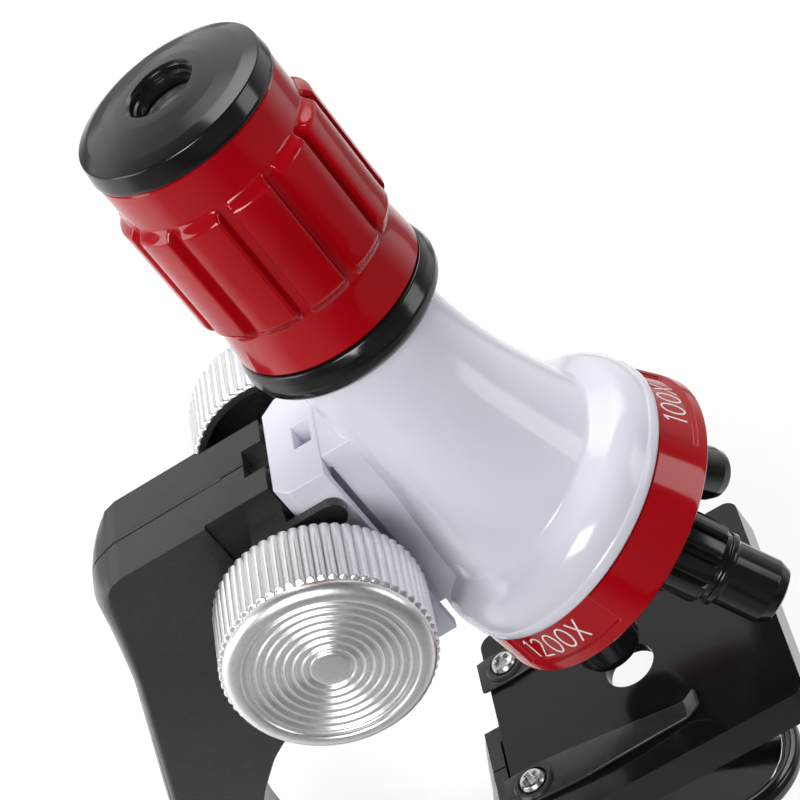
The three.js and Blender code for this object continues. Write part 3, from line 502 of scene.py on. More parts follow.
def silver_paint():
    """Silver metallic lacquer over moulded plastic, with fine flakes."""
    look = Look("silver_paint")
    flakes = look.add("TexVoronoi", {"Vector": look.coordinates("Object"), "Scale": 5200})
    grain = look.noise(1500, 4, 0.7)
    cloud = look.noise(90, 3)
    fine = look.ramp(grain, [(0.3, (0.76, 0.75, 0.77)), (0.7, (0.95, 0.94, 0.96))])
    broad = look.ramp(cloud, [(0.3, (0.84, 0.83, 0.84)), (0.7, (0.92, 0.91, 0.93))])
    color = look.mix("MIX", {"A": fine, "B": broad, "Factor": 0.5})
    gloss = look.ramp(grain, [(0.3, 0.27), (0.7, 0.34)])
    bumps = [(flakes.outputs["Distance"], 0.000004), (grain, 0.000004), (cloud, 0.00001)]
    return look.finished(color, gloss, bumps, Metallic=0.85)


def metal(name, low, high, rough):
    """Plated or cut metal with fine drawn marks and dull patches."""
    look = Look(name)
    marks = look.noise(900, 3, 0.6, (1, 8, 1))
    color = look.ramp(look.noise(160, 3), [(0.3, low), (0.7, high)])
    gloss = look.ramp(marks, [(0.3, rough * 0.7), (0.7, rough * 1.4)])
    return look.finished(color, gloss, [(marks, 0.000012)], Metallic=1.0)


def clear_plastic(name, tint):
    """Clear moulded acrylic with faint ripples."""
    look = Look(name)
    haze = look.noise(120, 2)
    paler = tuple(min(1, c * 1.04) for c in tint)
    color = look.ramp(haze, [(0.3, tint), (0.7, paler)])
    return look.finished(color, 0.03, [(haze, 0.00001)], IOR=1.49, Transmission_Weight=0.92)


def mirror_glass():
    look = Look("mirror_glass")
    haze = look.noise(90, 4)
    color = look.ramp(haze, [(0.3, (0.78, 0.80, 0.82)), (0.7, (0.86, 0.87, 0.88))])
    return look.finished(color, look.ramp(haze, [(0.3, 0.02), (0.75, 0.06)]), Metallic=1.0)


def soft_rubber():
    look = Look("foot_rubber")
    grain = look.noise(1800, 4)
    color = look.ramp(grain, [(0.3, (0.016,) * 3), (0.7, (0.035,) * 3)])
    return look.finished(color, 0.8, [(grain, 0.00005)])


def cell_film():
    """A cell's printed film: green and gold bands between bare ends."""
    look = Look("cell_wrap")
    bare, green, gold = (0.55, 0.55, 0.56), (0.02, 0.10, 0.06), (0.60, 0.38, 0.10)
    stops = [(0.0, bare), (0.03, green), (0.68, green), (0.70, gold), (0.95, gold), (0.97, bare)]
    color = look.ramp(look.split(look.coordinates("Generated"))["X"], stops)
    gloss = look.ramp(look.noise(700, 4), [(0.3, 0.22), (0.7, 0.36)])
    return look.finished(color, gloss, Metallic=0.5)


def white_ink():
    look = Look("white_ink")
    wear = look.noise(2600, 4)
    color = look.ramp(wear, [(0.25, (0.62, 0.50, 0.50)), (0.45, (0.86, 0.84, 0.84))])
    return look.finished(color, 0.35)


def floor_with_painted_shade():
    """Pale under and behind the microscope, with painted shade darkening it in front, where the light
    falls off.
    """
    look = Look("floor_with_painted_shade")
    pale = look.ramp(look.noise(6, 3), [(0.3, (0.93,) * 3), (0.7, (0.95,) * 3)])
    # painted shade: the colour darkens along Y towards the viewer in place of the light falling off
    depth = look.rescaled(look.split(look.coordinates("Object"))["Y"], *PAINTED_SHADE_SPAN)
    shade = look.ramp(depth, PAINTED_SHADE_STOPS)
    color = look.mix("MULTIPLY", {"A": pale, "B": shade, "Factor": 1.0})
    return look.finished(color, 0.6, Specular_IOR_Level=0.2)


BLACK = moulded("gloss_black", (0.0070,) * 3, (0.0090,) * 3, 0.14, specks=0.12)
SATIN = moulded("satin_black", (0.026, 0.0235, 0.024), (0.032, 0.029, 0.029), 0.25, grain=0.000003)
RED = moulded("red_plastic", (0.36, 0.0014, 0.0052), (0.41, 0.0017, 0.0065), 0.09)
WHITE = moulded("white_plastic", (0.74, 0.735, 0.825), (0.78, 0.775, 0.86), 0.14)
SILVER = silver_paint()
ZINC = metal("zinc_steel", (0.50, 0.50, 0.51), (0.66, 0.66, 0.67), 0.26)
BRASS = metal("pinion_brass", (0.55, 0.37, 0.12), (0.72, 0.50, 0.18), 0.24)
CLEAR = clear_plastic("lens_clear", (0.93, 0.95, 0.96))
MIRROR = mirror_glass()
RUBBER = soft_rubber()
CELL = cell_film()
INK = white_ink()


# -------------------------------- eyepiece
def eyepiece_cap():
    profile = [
        (18.4, -CAP_SIDE),
        (18.4, -3.2, 0.3),
        (CAP_RADIUS, -0.05, 0.55),
        (15.5, 0.98, 3),
        (12.0, 1.75, 3),
        (9.0, 2.25, 2),
        (6.75, 2.42, 0.35),
        (EYE_HOLE, 1.9, 0.35),
        (6.0, 0.9, 0.1),
        (5.65, 0.6, 0.1),
        (5.6, -1.4, 0.1),
        (8.3, -1.4, 0),
        (8.3, -8.5, 0),
        (16.0, -8.5, 0.2),
        (16.0, -CAP_SIDE, 0),
    ]
    cap = lathe("eyepiece_cap_skin", profile, TUBE, BLACK, 160, 0.25)
    put_on(cap, "eyepiece", "gloss_black", "eyepiece_cap")


def eye_lens():
    rise = [(r, -0.5 - r * r / 26) for r in np.linspace(0, 8.0, 20)]
    under = [(r, -4.9 + r * r / 64) for r in np.linspace(8.0, 0, 20)]
    lens = lathe("eye_lens_glass", rise + under, TUBE, CLEAR, 64, 0, loop=False)
    put_on(lens, "eyepiece", "lens_clear", "eye_lens")


def zoom_barrel():
    """Twelve raised grips with rounded channels between them, between two smooth bands."""
    segments = LAND_COUNT * 48
    top_shoulder = (-14.3, -12.0)
    foot = (-39.3, -36.4)

    def radius_at(r, z, angles):
        share = (angles / (2 * math.pi) * LAND_COUNT) % 1.0
        rise = smoothstep(0.12, 0.19, share)
        fall = 1 - smoothstep(0.88, 0.99, share)
        flat = 1 - 0.013 * (2 * (np.clip(share, 0.18, 0.9) - 0.54) / 0.72) ** 2
        along = smoothstep(foot[0], foot[1], z) * (1 - smoothstep(*top_shoulder, z))
        channel = -CHANNEL_DEPTH * along
        land = (LAND_RADIUS * flat - BAND_RADIUS) * along
        return r + channel + (land - channel) * rise * fall

    outside = [(BAND_RADIUS, z) for z in (BARREL_TOP - 0.25, -8.0, -11.6)]
    outside += [(BAND_RADIUS, z) for z in np.linspace(-12.0, -14.4, 14)]
    outside += [(BAND_RADIUS, z) for z in np.linspace(-17, -34, 8)]
    outside += [(BAND_RADIUS + 0.10, z) for z in np.linspace(-36.3, -39.4, 16)]
    outside += [(18.3, -40.5), (18.75, -45.0), (18.95, BARREL_BOTTOM + 0.3)]
    inside = [
        (18.7, BARREL_BOTTOM),
        (12.4, BARREL_BOTTOM),
        (12.4, -45.0),
        (16.3, -44.0),
        (16.3, BARREL_TOP),
        (BAND_RADIUS - 0.25, BARREL_TOP),
    ]
    rows = np.concatenate([spun(outside, segments, radius_at), spun(inside, segments)])
    barrel = place("zoom_barrel_skin", grid_mesh(rows, loop=True), TUBE, RED, 40)
    put_on(barrel, "eyepiece", "red_plastic", "zoom_barrel")


def tube_collar():
    profile = [
        (12.4, COLLAR_BOTTOM, 0),
        (18.2, COLLAR_BOTTOM, 0.7),
        (19.6, -53.9, 2.0),
        (20.0, -52.0, 2.0),
        (19.6, -50.2, 1.2),
        (19.0, -48.6, 0.5),
        (12.4, -48.6, 0),
    ]
    collar = lathe("tube_collar_skin", profile, TUBE, BLACK, 160, 0.5)
    put_on(collar, "carriage", "gloss_black", "tube_collar")


# -------------------------------- head
CONE_ROWS = [
    (-55.6, 15.0, -15.0),
    (-61.0, 15.3, -14.9),
    (-66.0, 16.0, -14.6),
    (-71.0, 17.0, -14.4),
    (-78.0, 18.9, -14.2),
    (-84.0, 21.0, -14.0),
    (-90.6, 23.6, -14.0),
    (-97.0, 26.3, -14.2),
    (-104.0, 28.0, -14.6),
]  # height, front and back of the cone
DOME_RADIUS = 28.15
DOME_TOP = -16.2
DOME_ROUND = 7.2
HEAD_HEART = np.array([5.0, 0.0, -95.0])  # a point that sees the whole outside of the head
HEAD_REACH = 75.0  # farther from the heart than any point of the head


def smooth_union(a, b, size):
    """The lower of two distances, with a fillet of about that size between them."""
    h = np.clip(0.5 + 0.5 * (b - a) / size, 0, 1)
    return b + (a - b) * h - size * h * (1 - h)


def head_field(points, cone_line, to_dome):
    """Distance outside the cone and dome together, at points of the tube frame."""
    heights, fronts, backs = cone_line
    front = np.interp(-points[..., 2], heights, fronts)
    back = np.interp(-points[..., 2], heights, backs)
    across_axis = np.hypot(points[..., 0] - (front + back) / 2, points[..., 1])
    cone = across_axis - (front - back) / 2
    local = points @ to_dome[:3, :3].T + to_dome[:3, 3]
    out = np.hypot(local[..., 0], local[..., 1]) - (DOME_RADIUS - DOME_ROUND)
    up = local[..., 2] - (DOME_TOP - DOME_ROUND)
    dome = np.hypot(np.maximum(out, 0), np.maximum(up, 0)) + np.minimum(np.maximum(out, up), 0)
    return smooth_union(cone, dome - DOME_ROUND, 1.5)


def head_shell():
    """Cone and dome as one skin, found along rays from the head's heart, then the dome's lip."""
    segments, steps = 224, 104
    line = np.array(curve_through(CONE_ROWS, 8))
    cone_line = (-line[:, 0], line[:, 1], line[:, 2])
    turret_in_tube = turn(-NOSE_ANGLE, "Y")
    turret_in_tube.translation = (0, 0, -APEX_DEPTH)
    to_dome = np.array(turret_in_tube.inverted())
    from_dome = np.array(turret_in_tube)
    neck_top, neck_radius, _ = CONE_ROWS[0]
    neck = spun([(neck_radius, neck_top)], segments)[0]
    lip = [(28.05, -24.4), (28.3, -24.7), (28.4, -25.0), (28.4, -26.5), (28.15, -27.0)]
    lip += [(27.9, -27.1), (26.3, -27.1), (26.0, -26.8), (26.0, -25.6), (0, -25.6)]
    lip_rows = spun(lip, segments) @ from_dome[:3, :3].T + from_dome[:3, 3]
    first = unit(neck - HEAD_HEART)
    last = unit(lip_rows[0] - HEAD_HEART)
    share = np.linspace(0, 1, steps)[:, None, None]
    rays = unit(first * (1 - share) + last * share)
    near = np.zeros(rays.shape[:2])
    far = np.full(rays.shape[:2], HEAD_REACH)
    for halving in range(26):
        middle = (near + far) / 2
        field = head_field(HEAD_HEART + rays * middle[..., None], cone_line, to_dome)
        near = np.where(field < 0, middle, near)
        far = np.where(field < 0, far, middle)
    rows = HEAD_HEART + rays * near[..., None]
    rows = rows[rows[:, :, 2].max(axis=1) < neck_top + 0.4]
    top = np.array([(0, 0, neck_top)] * segments)[None]
    rows = np.concatenate([top, neck[None], rows[1:], lip_rows])
    shell = place("head_shell", grid_mesh(rows), TUBE, WHITE, 50)
    put_on(shell, "carriage", "white_plastic", "head_body")


def head_block():
    """The slide block and its spine, with the rack slot, pin hole, pockets and side grooves."""
    back, front, half, top, bottom = -27.6, -17.2, 14.2, -70.9, -116.7
    chamfer = 3.0
    plan = [
        (back, chamfer - half),
        (back + chamfer, -half),
        (front, -half),
        (front, half),
        (back + chamfer, half),
        (back, half - chamfer),
    ]
    body = prism(plan, bottom, top)
    spine = block(front - 1, -8, -9.5, 9.5, bottom + 0.4, top - 0.01)
    cuts = [
        block(back - 1, -23.0, -3.7, 3.7, bottom - 1, top - 2.6),
        block(-22.1, -18.4, -3.3, 3.3, top - 5, top + 1),
    ]
    for side in (-1, 1):
        low, high = sorted((side * (half - 1.1), side * (half + 1)))
        cuts.append(block(-24.6, -21.4, low, high, bottom - 1, top - 9))
        low, high = sorted((side * 5.2, side * 11.8))
        cuts.append(block(-24.5, -16.8, low, high, bottom - 1, top - 3.2))
    mesh = edged(carve(body, [spine], cuts), 0.35)
    piece = keep_flats(place("head_block", mesh, TUBE, WHITE))
    put_on(piece, "carriage", "white_plastic", "head_body")


# -------------------------------- focus knobs
def focus_knob(side, sign):
    """Rounded ribs round the side, a full rim, rings on the face, and a hollow dark back."""
    segments = KNOB_RIBS * 10

    def radius_at(r, z, angles):
        if r < 18.0:
            return np.full(len(angles), float(r))
        rounded = np.sqrt(1 - np.abs(2 * ((angles / (2 * math.pi) * KNOB_RIBS) % 1.0) - 1) ** 2.2)
        depth = smoothstep(KNOB_BACK - 0.2, KNOB_BACK + 0.5, z) * (1 - smoothstep(36.9, 37.5, z))
        return r + KNOB_RIB_DEPTH * depth * rounded

    side_rows = [(18.55, z) for z in (KNOB_BACK, KNOB_BACK + 0.25, KNOB_BACK + 0.6, 27, 32, 36.0)]
    side_rows += [(18.6, z) for z in np.linspace(36.8, 37.5, 7)]
    rim = [(18.85, 37.7), (18.8, 38.2), (18.55, 38.8), (18.1, 39.3), (17.5, 39.7)]
    rim += [(16.9, 39.88), (16.3, KNOB_FACE), (15.9, 39.88), (15.6, 39.6), (15.45, 39.3)]
    face = []
    for r in np.linspace(KNOB_RING, 3.9, 70):
        wave = math.cos(2 * math.pi * (KNOB_RING - r) / KNOB_RING_STEP + math.pi)
        face.append((r, 39.14 + 0.27 * wave))
    face += [(3.7, 39.15), (3.5, 39.3), (3.3, 39.38), (2.0, 39.38), (0, 39.38)]
    outside = side_rows + rim + face
    hollow = [(0, 13.0), (3.6, 13.0), (4.0, 13.3), (4.0, 36.0), (4.4, 36.4), (16.3, 36.4)]
    hollow += [(16.7, 36.0), (17.1, KNOB_BACK + 0.3), (17.3, KNOB_BACK)]
    rows = np.concatenate([spun(hollow, segments), spun(outside, segments, radius_at)])
    axis = across(sign, KNOB_X, KNOB_Z)
    knob = place(f"focus_knob_{side}_skin", grid_mesh(rows), axis, [SILVER, SATIN], 40)
    to_local = axis.inverted()
    for polygon in knob.data.polygons:
        local = to_local @ polygon.center / MM
        if local.z < KNOB_BACK + 0.1 or (local.xy.length < 17.35 and local.z < 38):
            polygon.material_index = 1
    put_on(knob, "focus_drive", "silver_paint", f"focus_knob_{side}")


# -------------------------------- turret
def ring_radius(depth):
    share = (depth - RING_TOP) / (RING_BOTTOM - RING_TOP)
    return RING_TOP_RADIUS + (RING_BOTTOM_RADIUS - RING_TOP_RADIUS) * share


def turret_ring():
    segments = 720

    def radius_at(r, z, angles):
        if r < 27.6:
            return np.full(len(angles), float(r))
        away = (angles + math.pi / 3) % (2 * math.pi / 3) - math.pi / 3
        inside = 1 - smoothstep(PANEL_HALF - 0.012, PANEL_HALF, np.abs(away))
        inside *= smoothstep(-PANEL_LOW - 0.15, -PANEL_LOW + 0.15, z)
        return r - PANEL_DEPTH * inside

    depths = [RING_TOP, RING_TOP + 0.1, 29.0, 31.0, 33.0]
    depths += [*np.linspace(PANEL_LOW - 0.25, PANEL_LOW + 0.25, 7), 35.6, 36.3]
    outside = [(ring_radius(d), -d) for d in depths]
    outside += [(30.35, -36.75), (30.1, -37.02), (29.8, -RING_BOTTOM), (27.5, -RING_BOTTOM)]
    outside += [(27.2, -36.8), (26.6, -36.0), (25.4, -31.0), (25.4, -RING_TOP)]
    rows = spun(outside, segments, radius_at)
    ring = place("turret_ring_skin", grid_mesh(rows, loop=True), TURRET, RED, 38)
    put_on(ring, "turret", "red_plastic", "turret_ring")


def glyph(character):
    """A figure's strokes in a box one unit high, as polylines, and its width."""
    if character == "0":
        turns = np.linspace(0, 2 * math.pi, 25)
        return [[(0.27 + 0.25 * math.cos(a), 0.5 + 0.48 * math.sin(a)) for a in turns]], 0.54
    if character == "1":
        return [[(0.05, 0.78), (0.22, 0.98), (0.22, 0.02)]], 0.34
    if character == "2":
        turns = np.linspace(2.9, -0.6, 12)
        bowl = [(0.26 + 0.22 * math.cos(a), 0.75 + 0.22 * math.sin(a)) for a in turns]
        return [bowl + [(0.03, 0.02), (0.52, 0.02)]], 0.54
    if character == "4":
        return [[(0.42, 0.02), (0.42, 0.98), (0.03, 0.3), (0.56, 0.3)]], 0.6
    return [[(0.03, 0.98), (0.5, 0.02)], [(0.5, 0.98), (0.03, 0.02)]], 0.53


def figures(text, azimuth):
    """Generic magnification figures, printed thinly on a panel of the ring."""
    height, stroke, gap = 5.0, 0.34, 0.16
    widths = [glyph(c)[1] + gap for c in text]
    cursor = -sum(widths) / 2
    vertices, faces = [], []
    middle_depth = 31.3
    radius = ring_radius(middle_depth) - PANEL_DEPTH

    def on_ring(u, v, lift):
        depth = middle_depth - (v - 0.5) * height
        angle = math.radians(azimuth) + u * height / radius
        r = ring_radius(depth) - PANEL_DEPTH + lift
        return Vector((r * math.cos(angle), r * math.sin(angle), -depth))

    for character, width in zip(text, widths):
        for line in glyph(character)[0]:
            points = [Vector(p) for p in line]
            dense = [points[0]]
            for a, b in zip(points, points[1:]):
                dense += [a.lerp(b, k / 4) for k in range(1, 5)]
            start = len(vertices)
            for i, p in enumerate(dense):
                ahead = dense[min(i + 1, len(dense) - 1)] - dense[max(i - 1, 0)]
                normal = Vector((-ahead.y, ahead.x)).normalized() * stroke / height / 2
                for lift in (-0.1, 0.04):
                    for s in (-1, 1):
                        q = p + normal * s
                        vertices.append(on_ring(cursor + q.x, q.y, lift))
            for i in range(len(dense) - 1):
                a = start + 4 * i
                b = a + 4
                faces += [(a, b, b + 1, a + 1), (a + 2, a + 3, b + 3, b + 2)]
                faces += [(a, a + 2, b + 2, b), (a + 1, b + 1, b + 3, a + 3)]
            last = start + 4 * (len(dense) - 1)
            faces += [(start, start + 1, start + 3, start + 2)]
            faces += [(last, last + 2, last + 3, last + 1)]
        cursor += width
    mesh = bpy.data.meshes.new("figures")
    mesh.from_pydata(vertices, [], faces)
    with editing(mesh) as edit:
        bmesh.ops.recalc_face_normals(edit, faces=edit.faces)
    mesh.transform(TURRET @ Matrix.Scale(MM, 4))
    mesh.materials.append(INK)
    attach(in_scene(f"figures_{text}", mesh), "turret")


THREAD = [(5.4, 33.0), (5.4, 38.7)]  # radius and drop below the apex
OBJECTIVES = {
    "short": [(7.4, 38.7), (7.4, 45.0), (7.0, 45.8), (7.0, 60.0), (6.1, 62.1), (4.4, 62.8)],
    "long": [(6.3, 38.7), (6.3, 42.0), (5.45, 66.4), (4.9, 68.6), (3.4, 69.5)],
    "medium": [(6.6, 38.7), (6.6, 55.6), (7.15, 55.8), (7.15, 56.9)]
    + [(6.3, 57.4), (6.3, 66.2), (5.4, 68.3), (3.4, 69.0)],
}


def objective(size):
    outside = [(r, -drop) for r, drop in THREAD + OBJECTIVES[size]]
    nose = outside[-1][1]
    bore = [(2.2, nose), (2.2, nose + 1.0), (3.2, nose + 1.6), (3.2, nose + 4.6)]
    bore += [(4.2, nose + 4.6), (4.2, -33.0)]
    piece = lathe(f"objective_{size}_skin", outside + bore, objective_frame(size), BLACK, 96, 0.45)
    put_on(piece, "turret", "gloss_black", f"objective_{size}")


def medium_grip():
    """The castellated grip collar of the medium objective."""
    teeth = 10
    segments = teeth * 24

    def radius_at(r, z, angles):
        if r < 6.0:
            return np.full(len(angles), float(r))
        share = (angles / (2 * math.pi) * teeth) % 1.0
        tooth = smoothstep(0.08, 0.2, share) * (1 - smoothstep(0.8, 0.92, share))
        return 6.55 + (r - 6.55) * tooth

    profile = [(7.3, -39.7), (7.8, -40.1), (7.95, -40.8), (7.95, -53.4), (7.8, -54.1)]
    profile += [(7.3, -54.5), (5.6, -54.5), (5.6, -39.7)]
    mesh = grid_mesh(spun(profile, segments, radius_at), loop=True)
    piece = place("objective_medium_grip", mesh, objective_frame("medium"), BLACK)
    put_on(piece, "turret", "gloss_black", "objective_medium")


# -------------------------------- arm
ARM_BACK = [
    (-63.4, -71.2),
    (-64.6, -73.4),
    (-67.6, -82.3),
    (-71.6, -93.0),
    (-76.2, -104.0),
    (-80.8, -114.4),
    (-84.9, -124.0),
    (-89.0, -134.5),
    (-91.8, -145.5),
    (-92.4, -157.5),
    (-90.2, -170.0),
    (-84.5, -181.8),
    (-75.5, -191.0),
    (-64.0, -197.4),
    (-52.0, -201.0),
    (-42.0, -202.8),
]
ARM_INNER = [
    (-46.3, -186.5),
    (-50.0, -189.2),
    (-56.5, -189.0),
    (-64.0, -185.4),
    (-71.5, -178.4),
    (-77.0, -169.5),
    (-79.2, -159.5),
    (-78.6, -149.5),
    (-75.6, -140.2),
    (-71.0, -132.8),
    (-66.5, -128.1),
    (-62.0, -124.2),
    (-54.0, -120.0),
    (-45.0, -116.5),
    (-36.0, -113.0),
    (-30.5, -109.0),
    (ARM_FRONT, -104.0),
]
BACK_BULGE = 5.2
ARM_BOSSES = [(-54, -85), (-75, -125), (-78, -177)]
FINGER_ROWS = [(-75.8, -81.3), (-96.2, -101.2)]


def arm_outline():
    """The outline from the top front corner round the back, and how far the back starts."""
    back = curve_through(ARM_BACK, 5)
    knuckle = arc(HINGE[0], HINGE[1], HINGE_RADIUS, 240, 360, 10)
    front = [(HINGE[0] + HINGE_RADIUS, -166.3), (-36.4, -166.3)]
    rise = curve_through([(-36.4, -166.5), (-38.4, -170.3), (-40.8, -175.5), (-43.4, -181.5)], 3)
    inner = curve_through([rise[-1]] + ARM_INNER, 4)
    outline = [(ARM_FRONT, ARM_TOP), (-60.5, ARM_TOP)] + back + knuckle + front + rise[1:] + inner[1:]
    return outline, 2, 2 + len(back)


def arm_mesh(sign, seam_lift):
    """One half: the rounded back swells towards the seam, the side is flat."""
    outline, start, end = arm_outline()
    points = np.array(outline)
    pushes = np.zeros_like(points)
    line = points[start - 1 : end]
    along = np.gradient(line, axis=0)
    normal = unit(np.stack([along[:, 1], -along[:, 0]], -1))
    belly = 0.62 + 0.38 * np.clip((line[:, 1] + 95) / 22, 0, 1)
    fade = belly * np.clip((line[:, 1] + 202) / 55, 0, 1)
    fade *= np.clip(np.arange(len(line)) / 8, 0, 1)
    normal[:, 1] = np.minimum(normal[:, 1], 0)
    pushes[start - 1 : end] = normal * (BACK_BULGE * fade)[:, None]
    shares = [0.02, 0.06, 0.16, 0.28, 0.4, 0.52, 0.64, 0.75, 0.84, 0.91, 0.96, 0.985, 1.0]
    rows = []
    for share in shares:
        amount = math.sqrt(1 - share * share)
        moved = points + pushes * amount
        if share == shares[0]:
            moved[:2, 1] -= seam_lift
        y = np.full(len(points), sign * ARM_HALF * share)
        rows.append(np.stack([moved[:, 0], y, moved[:, 1]], -1))
    rows = np.array(rows)
    count, around = rows.shape[:2]
    mesh = grid_mesh(rows)
    with editing(mesh) as edit:
        edit.verts.ensure_lookup_table()
        edit.faces.new([edit.verts[i] for i in range(around)])
        edit.faces.new([edit.verts[(count - 1) * around + i] for i in range(around)][::-1])
        bmesh.ops.recalc_face_normals(edit, faces=edit.faces)
    return mesh


def side_prism(sign, points, y0, y1):
    low, high = sorted((sign * y0, sign * y1))
    return prism_y(points, low, high)


def rect(x0, x1, z0, z1):
    return [(x0, z0), (x1, z0), (x1, z1), (x0, z1)]


def seam_ridge():
    """The thin lip of one half that stands over the seam along the top."""
    lip = block(-61, -37.5, -0.55, 0.1, ARM_TOP - 0.3, ARM_TOP + 0.16)
    piece = place("arm_seam_lip", edged(lip, 0.08, 2), TUBE, SATIN)
    put_on(piece, "arm", "satin_black")


def arm_shell(side, sign):
    body = arm_mesh(sign, 0.12)
    through = sorted((-sign, sign * 14))
    cuts = [
        side_prism(sign, rect(-40, -24, -98.5, -81.5), -1, 3.9),  # room for the pinion
        side_prism(sign, rect(-32.6, -24, -73.6, -69), -1, 3.95),  # notch in the top
        cylinder_y(2.3, KNOB_X, KNOB_Z, *through),
        cylinder_y(2.9, *HINGE, *through),
        side_prism(sign, rect(-33.4, -24.6, -171.5, -165), -1, 7.3),  # slot for the stage's tenon
        side_prism(sign, rect(ARM_STEP, -24, -107, -69), ARM_HALF - ARM_RECESS, ARM_HALF + 1),
    ]
    if sign > 0:
        cuts += [cylinder_y(3.2, x, z, 9.6, 14) for x, z in ARM_BOSSES]
    shell = edged(carve(body, cuts=cuts), 0.7, 3, 40)
    piece = keep_flats(place(f"arm_{side}_skin", shell, TUBE, SATIN, 32))
    put_on(piece, "arm", "satin_black", f"arm_shell_{side}")
    if sign < 0:
        seam_ridge()
    for i, (top, bottom) in enumerate(FINGER_ROWS):
        radius = (top - bottom) / 2
        middle = (top + bottom) / 2
        tip = -17.7 - radius
        points = [(-36, bottom)] + arc(tip, middle, radius, -90, 90, 12) + [(-36, top)]
        finger = side_prism(sign, points, 14.5, 16.6)
        root = side_prism(sign, rect(-36, -28.7, bottom, top), ARM_HALF - 2, 16.0)
        rib = side_prism(sign, rect(-24.3, -21.7, bottom + 0.3, top - 0.3), 13.5, 15)
        mesh = edged(carve(finger, [root, rib]), 0.4)
        piece = keep_flats(place(f"arm_{side}_finger_{i}", mesh, TUBE, SATIN))
        put_on(piece, "arm", "satin_black", f"arm_shell_{side}")


# -------------------------------- screws
def cross_recess(radius, depth, top):
    """Meshes to cut a cross-head recess into a screw head."""
    width = radius * 0.26
    reach = radius * 0.62
    bars = []
    for quarter in range(2):
        bar = block(-reach, reach, -width, width, top - depth, top + 1)
        bars.append(turned_mesh(bar, turn(quarter * math.pi / 2 + 0.4, "Z")))
    return bars


def cross_screw(node, profile, fillet, cuts, matrix, body):
    mesh = outward(grid_mesh(spun(filleted(profile, fillet), 48)))
    piece = place(f"{node}_head", carve(mesh, cuts=cuts), matrix, ZINC, 30)
    put_on(piece, body, "zinc_steel", node)


def screws():
    deep = 1.1
    low = STAGE["top"] + 1.2
    profile = [(0, -164), (1.25, -163.4), (1.25, low), (2.75, low), (2.75, low + 0.5)]
    profile += [(2.3, low + 1.25), (0, low + 1.6)]
    for side, sign in (("left", -1), ("right", 1)):
        cuts = cross_recess(2.75, deep, low + 1.5)
        matrix = in_tube(CLIP_X, sign * CLIP_Y, 0)
        cross_screw(f"clip_screw_{side}", profile, 0.3, cuts, matrix, "arm")
    profile = [(0, -7.4), (1.3, -6.6), (1.3, 9.9), (2.8, 9.9), (2.8, 10.6), (2.2, 11.2), (0, 11.35)]
    for name, (x, z) in zip(("top", "middle", "low"), ARM_BOSSES):
        cuts = cross_recess(2.8, deep, 11.3)
        cross_screw(f"arm_screw_{name}", profile, 0.3, cuts, across(1, x, z), "arm")
    profile = [(0, -39.6), (2.2, -39.45), (3.5, -38.7), (4.1, -37.1)]
    profile += [(1.35, -37.1), (1.35, -20), (0, -20)]
    below = Matrix.Translation((0, 0, -78.2))  # the recess opens at the head's lower side
    cuts = [turned_mesh(mesh, below) for mesh in cross_recess(4.0, deep, 39.6)]
    cross_screw("turret_screw", profile, 0.4, cuts, TURRET, "turret")


# -------------------------------- stage and clips
def stage():
    back, front, half = STAGE["back"], STAGE["front"], STAGE["half"]
    top, bottom = STAGE["top"], STAGE["bottom"]
    inner = rounded_rect(back + 2, front - 2, 2 - half, half - 2, 1.5)
    slab = prism(rounded_rect(back, front, -half, half, 3), bottom, top)
    hollow = carve(slab, cuts=[prism(inner, bottom - 1, top - 2.4)])
    joins = [
        block(back + 1, -14, -11.2, 11.2, bottom + 0.02, top - 1),
        block(-33.0, -25.0, -7, 7, -171, -166.6),
        block(back + 0.01, -25.2, -6.9, 6.9, -168, -165),
    ]
    cuts = [cylinder(STAGE_HOLE, 0, 0, bottom - 1, top + 1, 64)]
    for y in (-CLIP_Y, CLIP_Y):
        joins.append(cylinder(3.6, CLIP_X, y, bottom, top - 1))
        cuts.append(cylinder(1.6, CLIP_X, y, top - 3, top + 1, 24))
    piece = keep_flats(place("stage_skin", edged(carve(hollow, joins, cuts), 0.45), TUBE, BLACK))
    put_on(piece, "arm", "gloss_black", "stage")


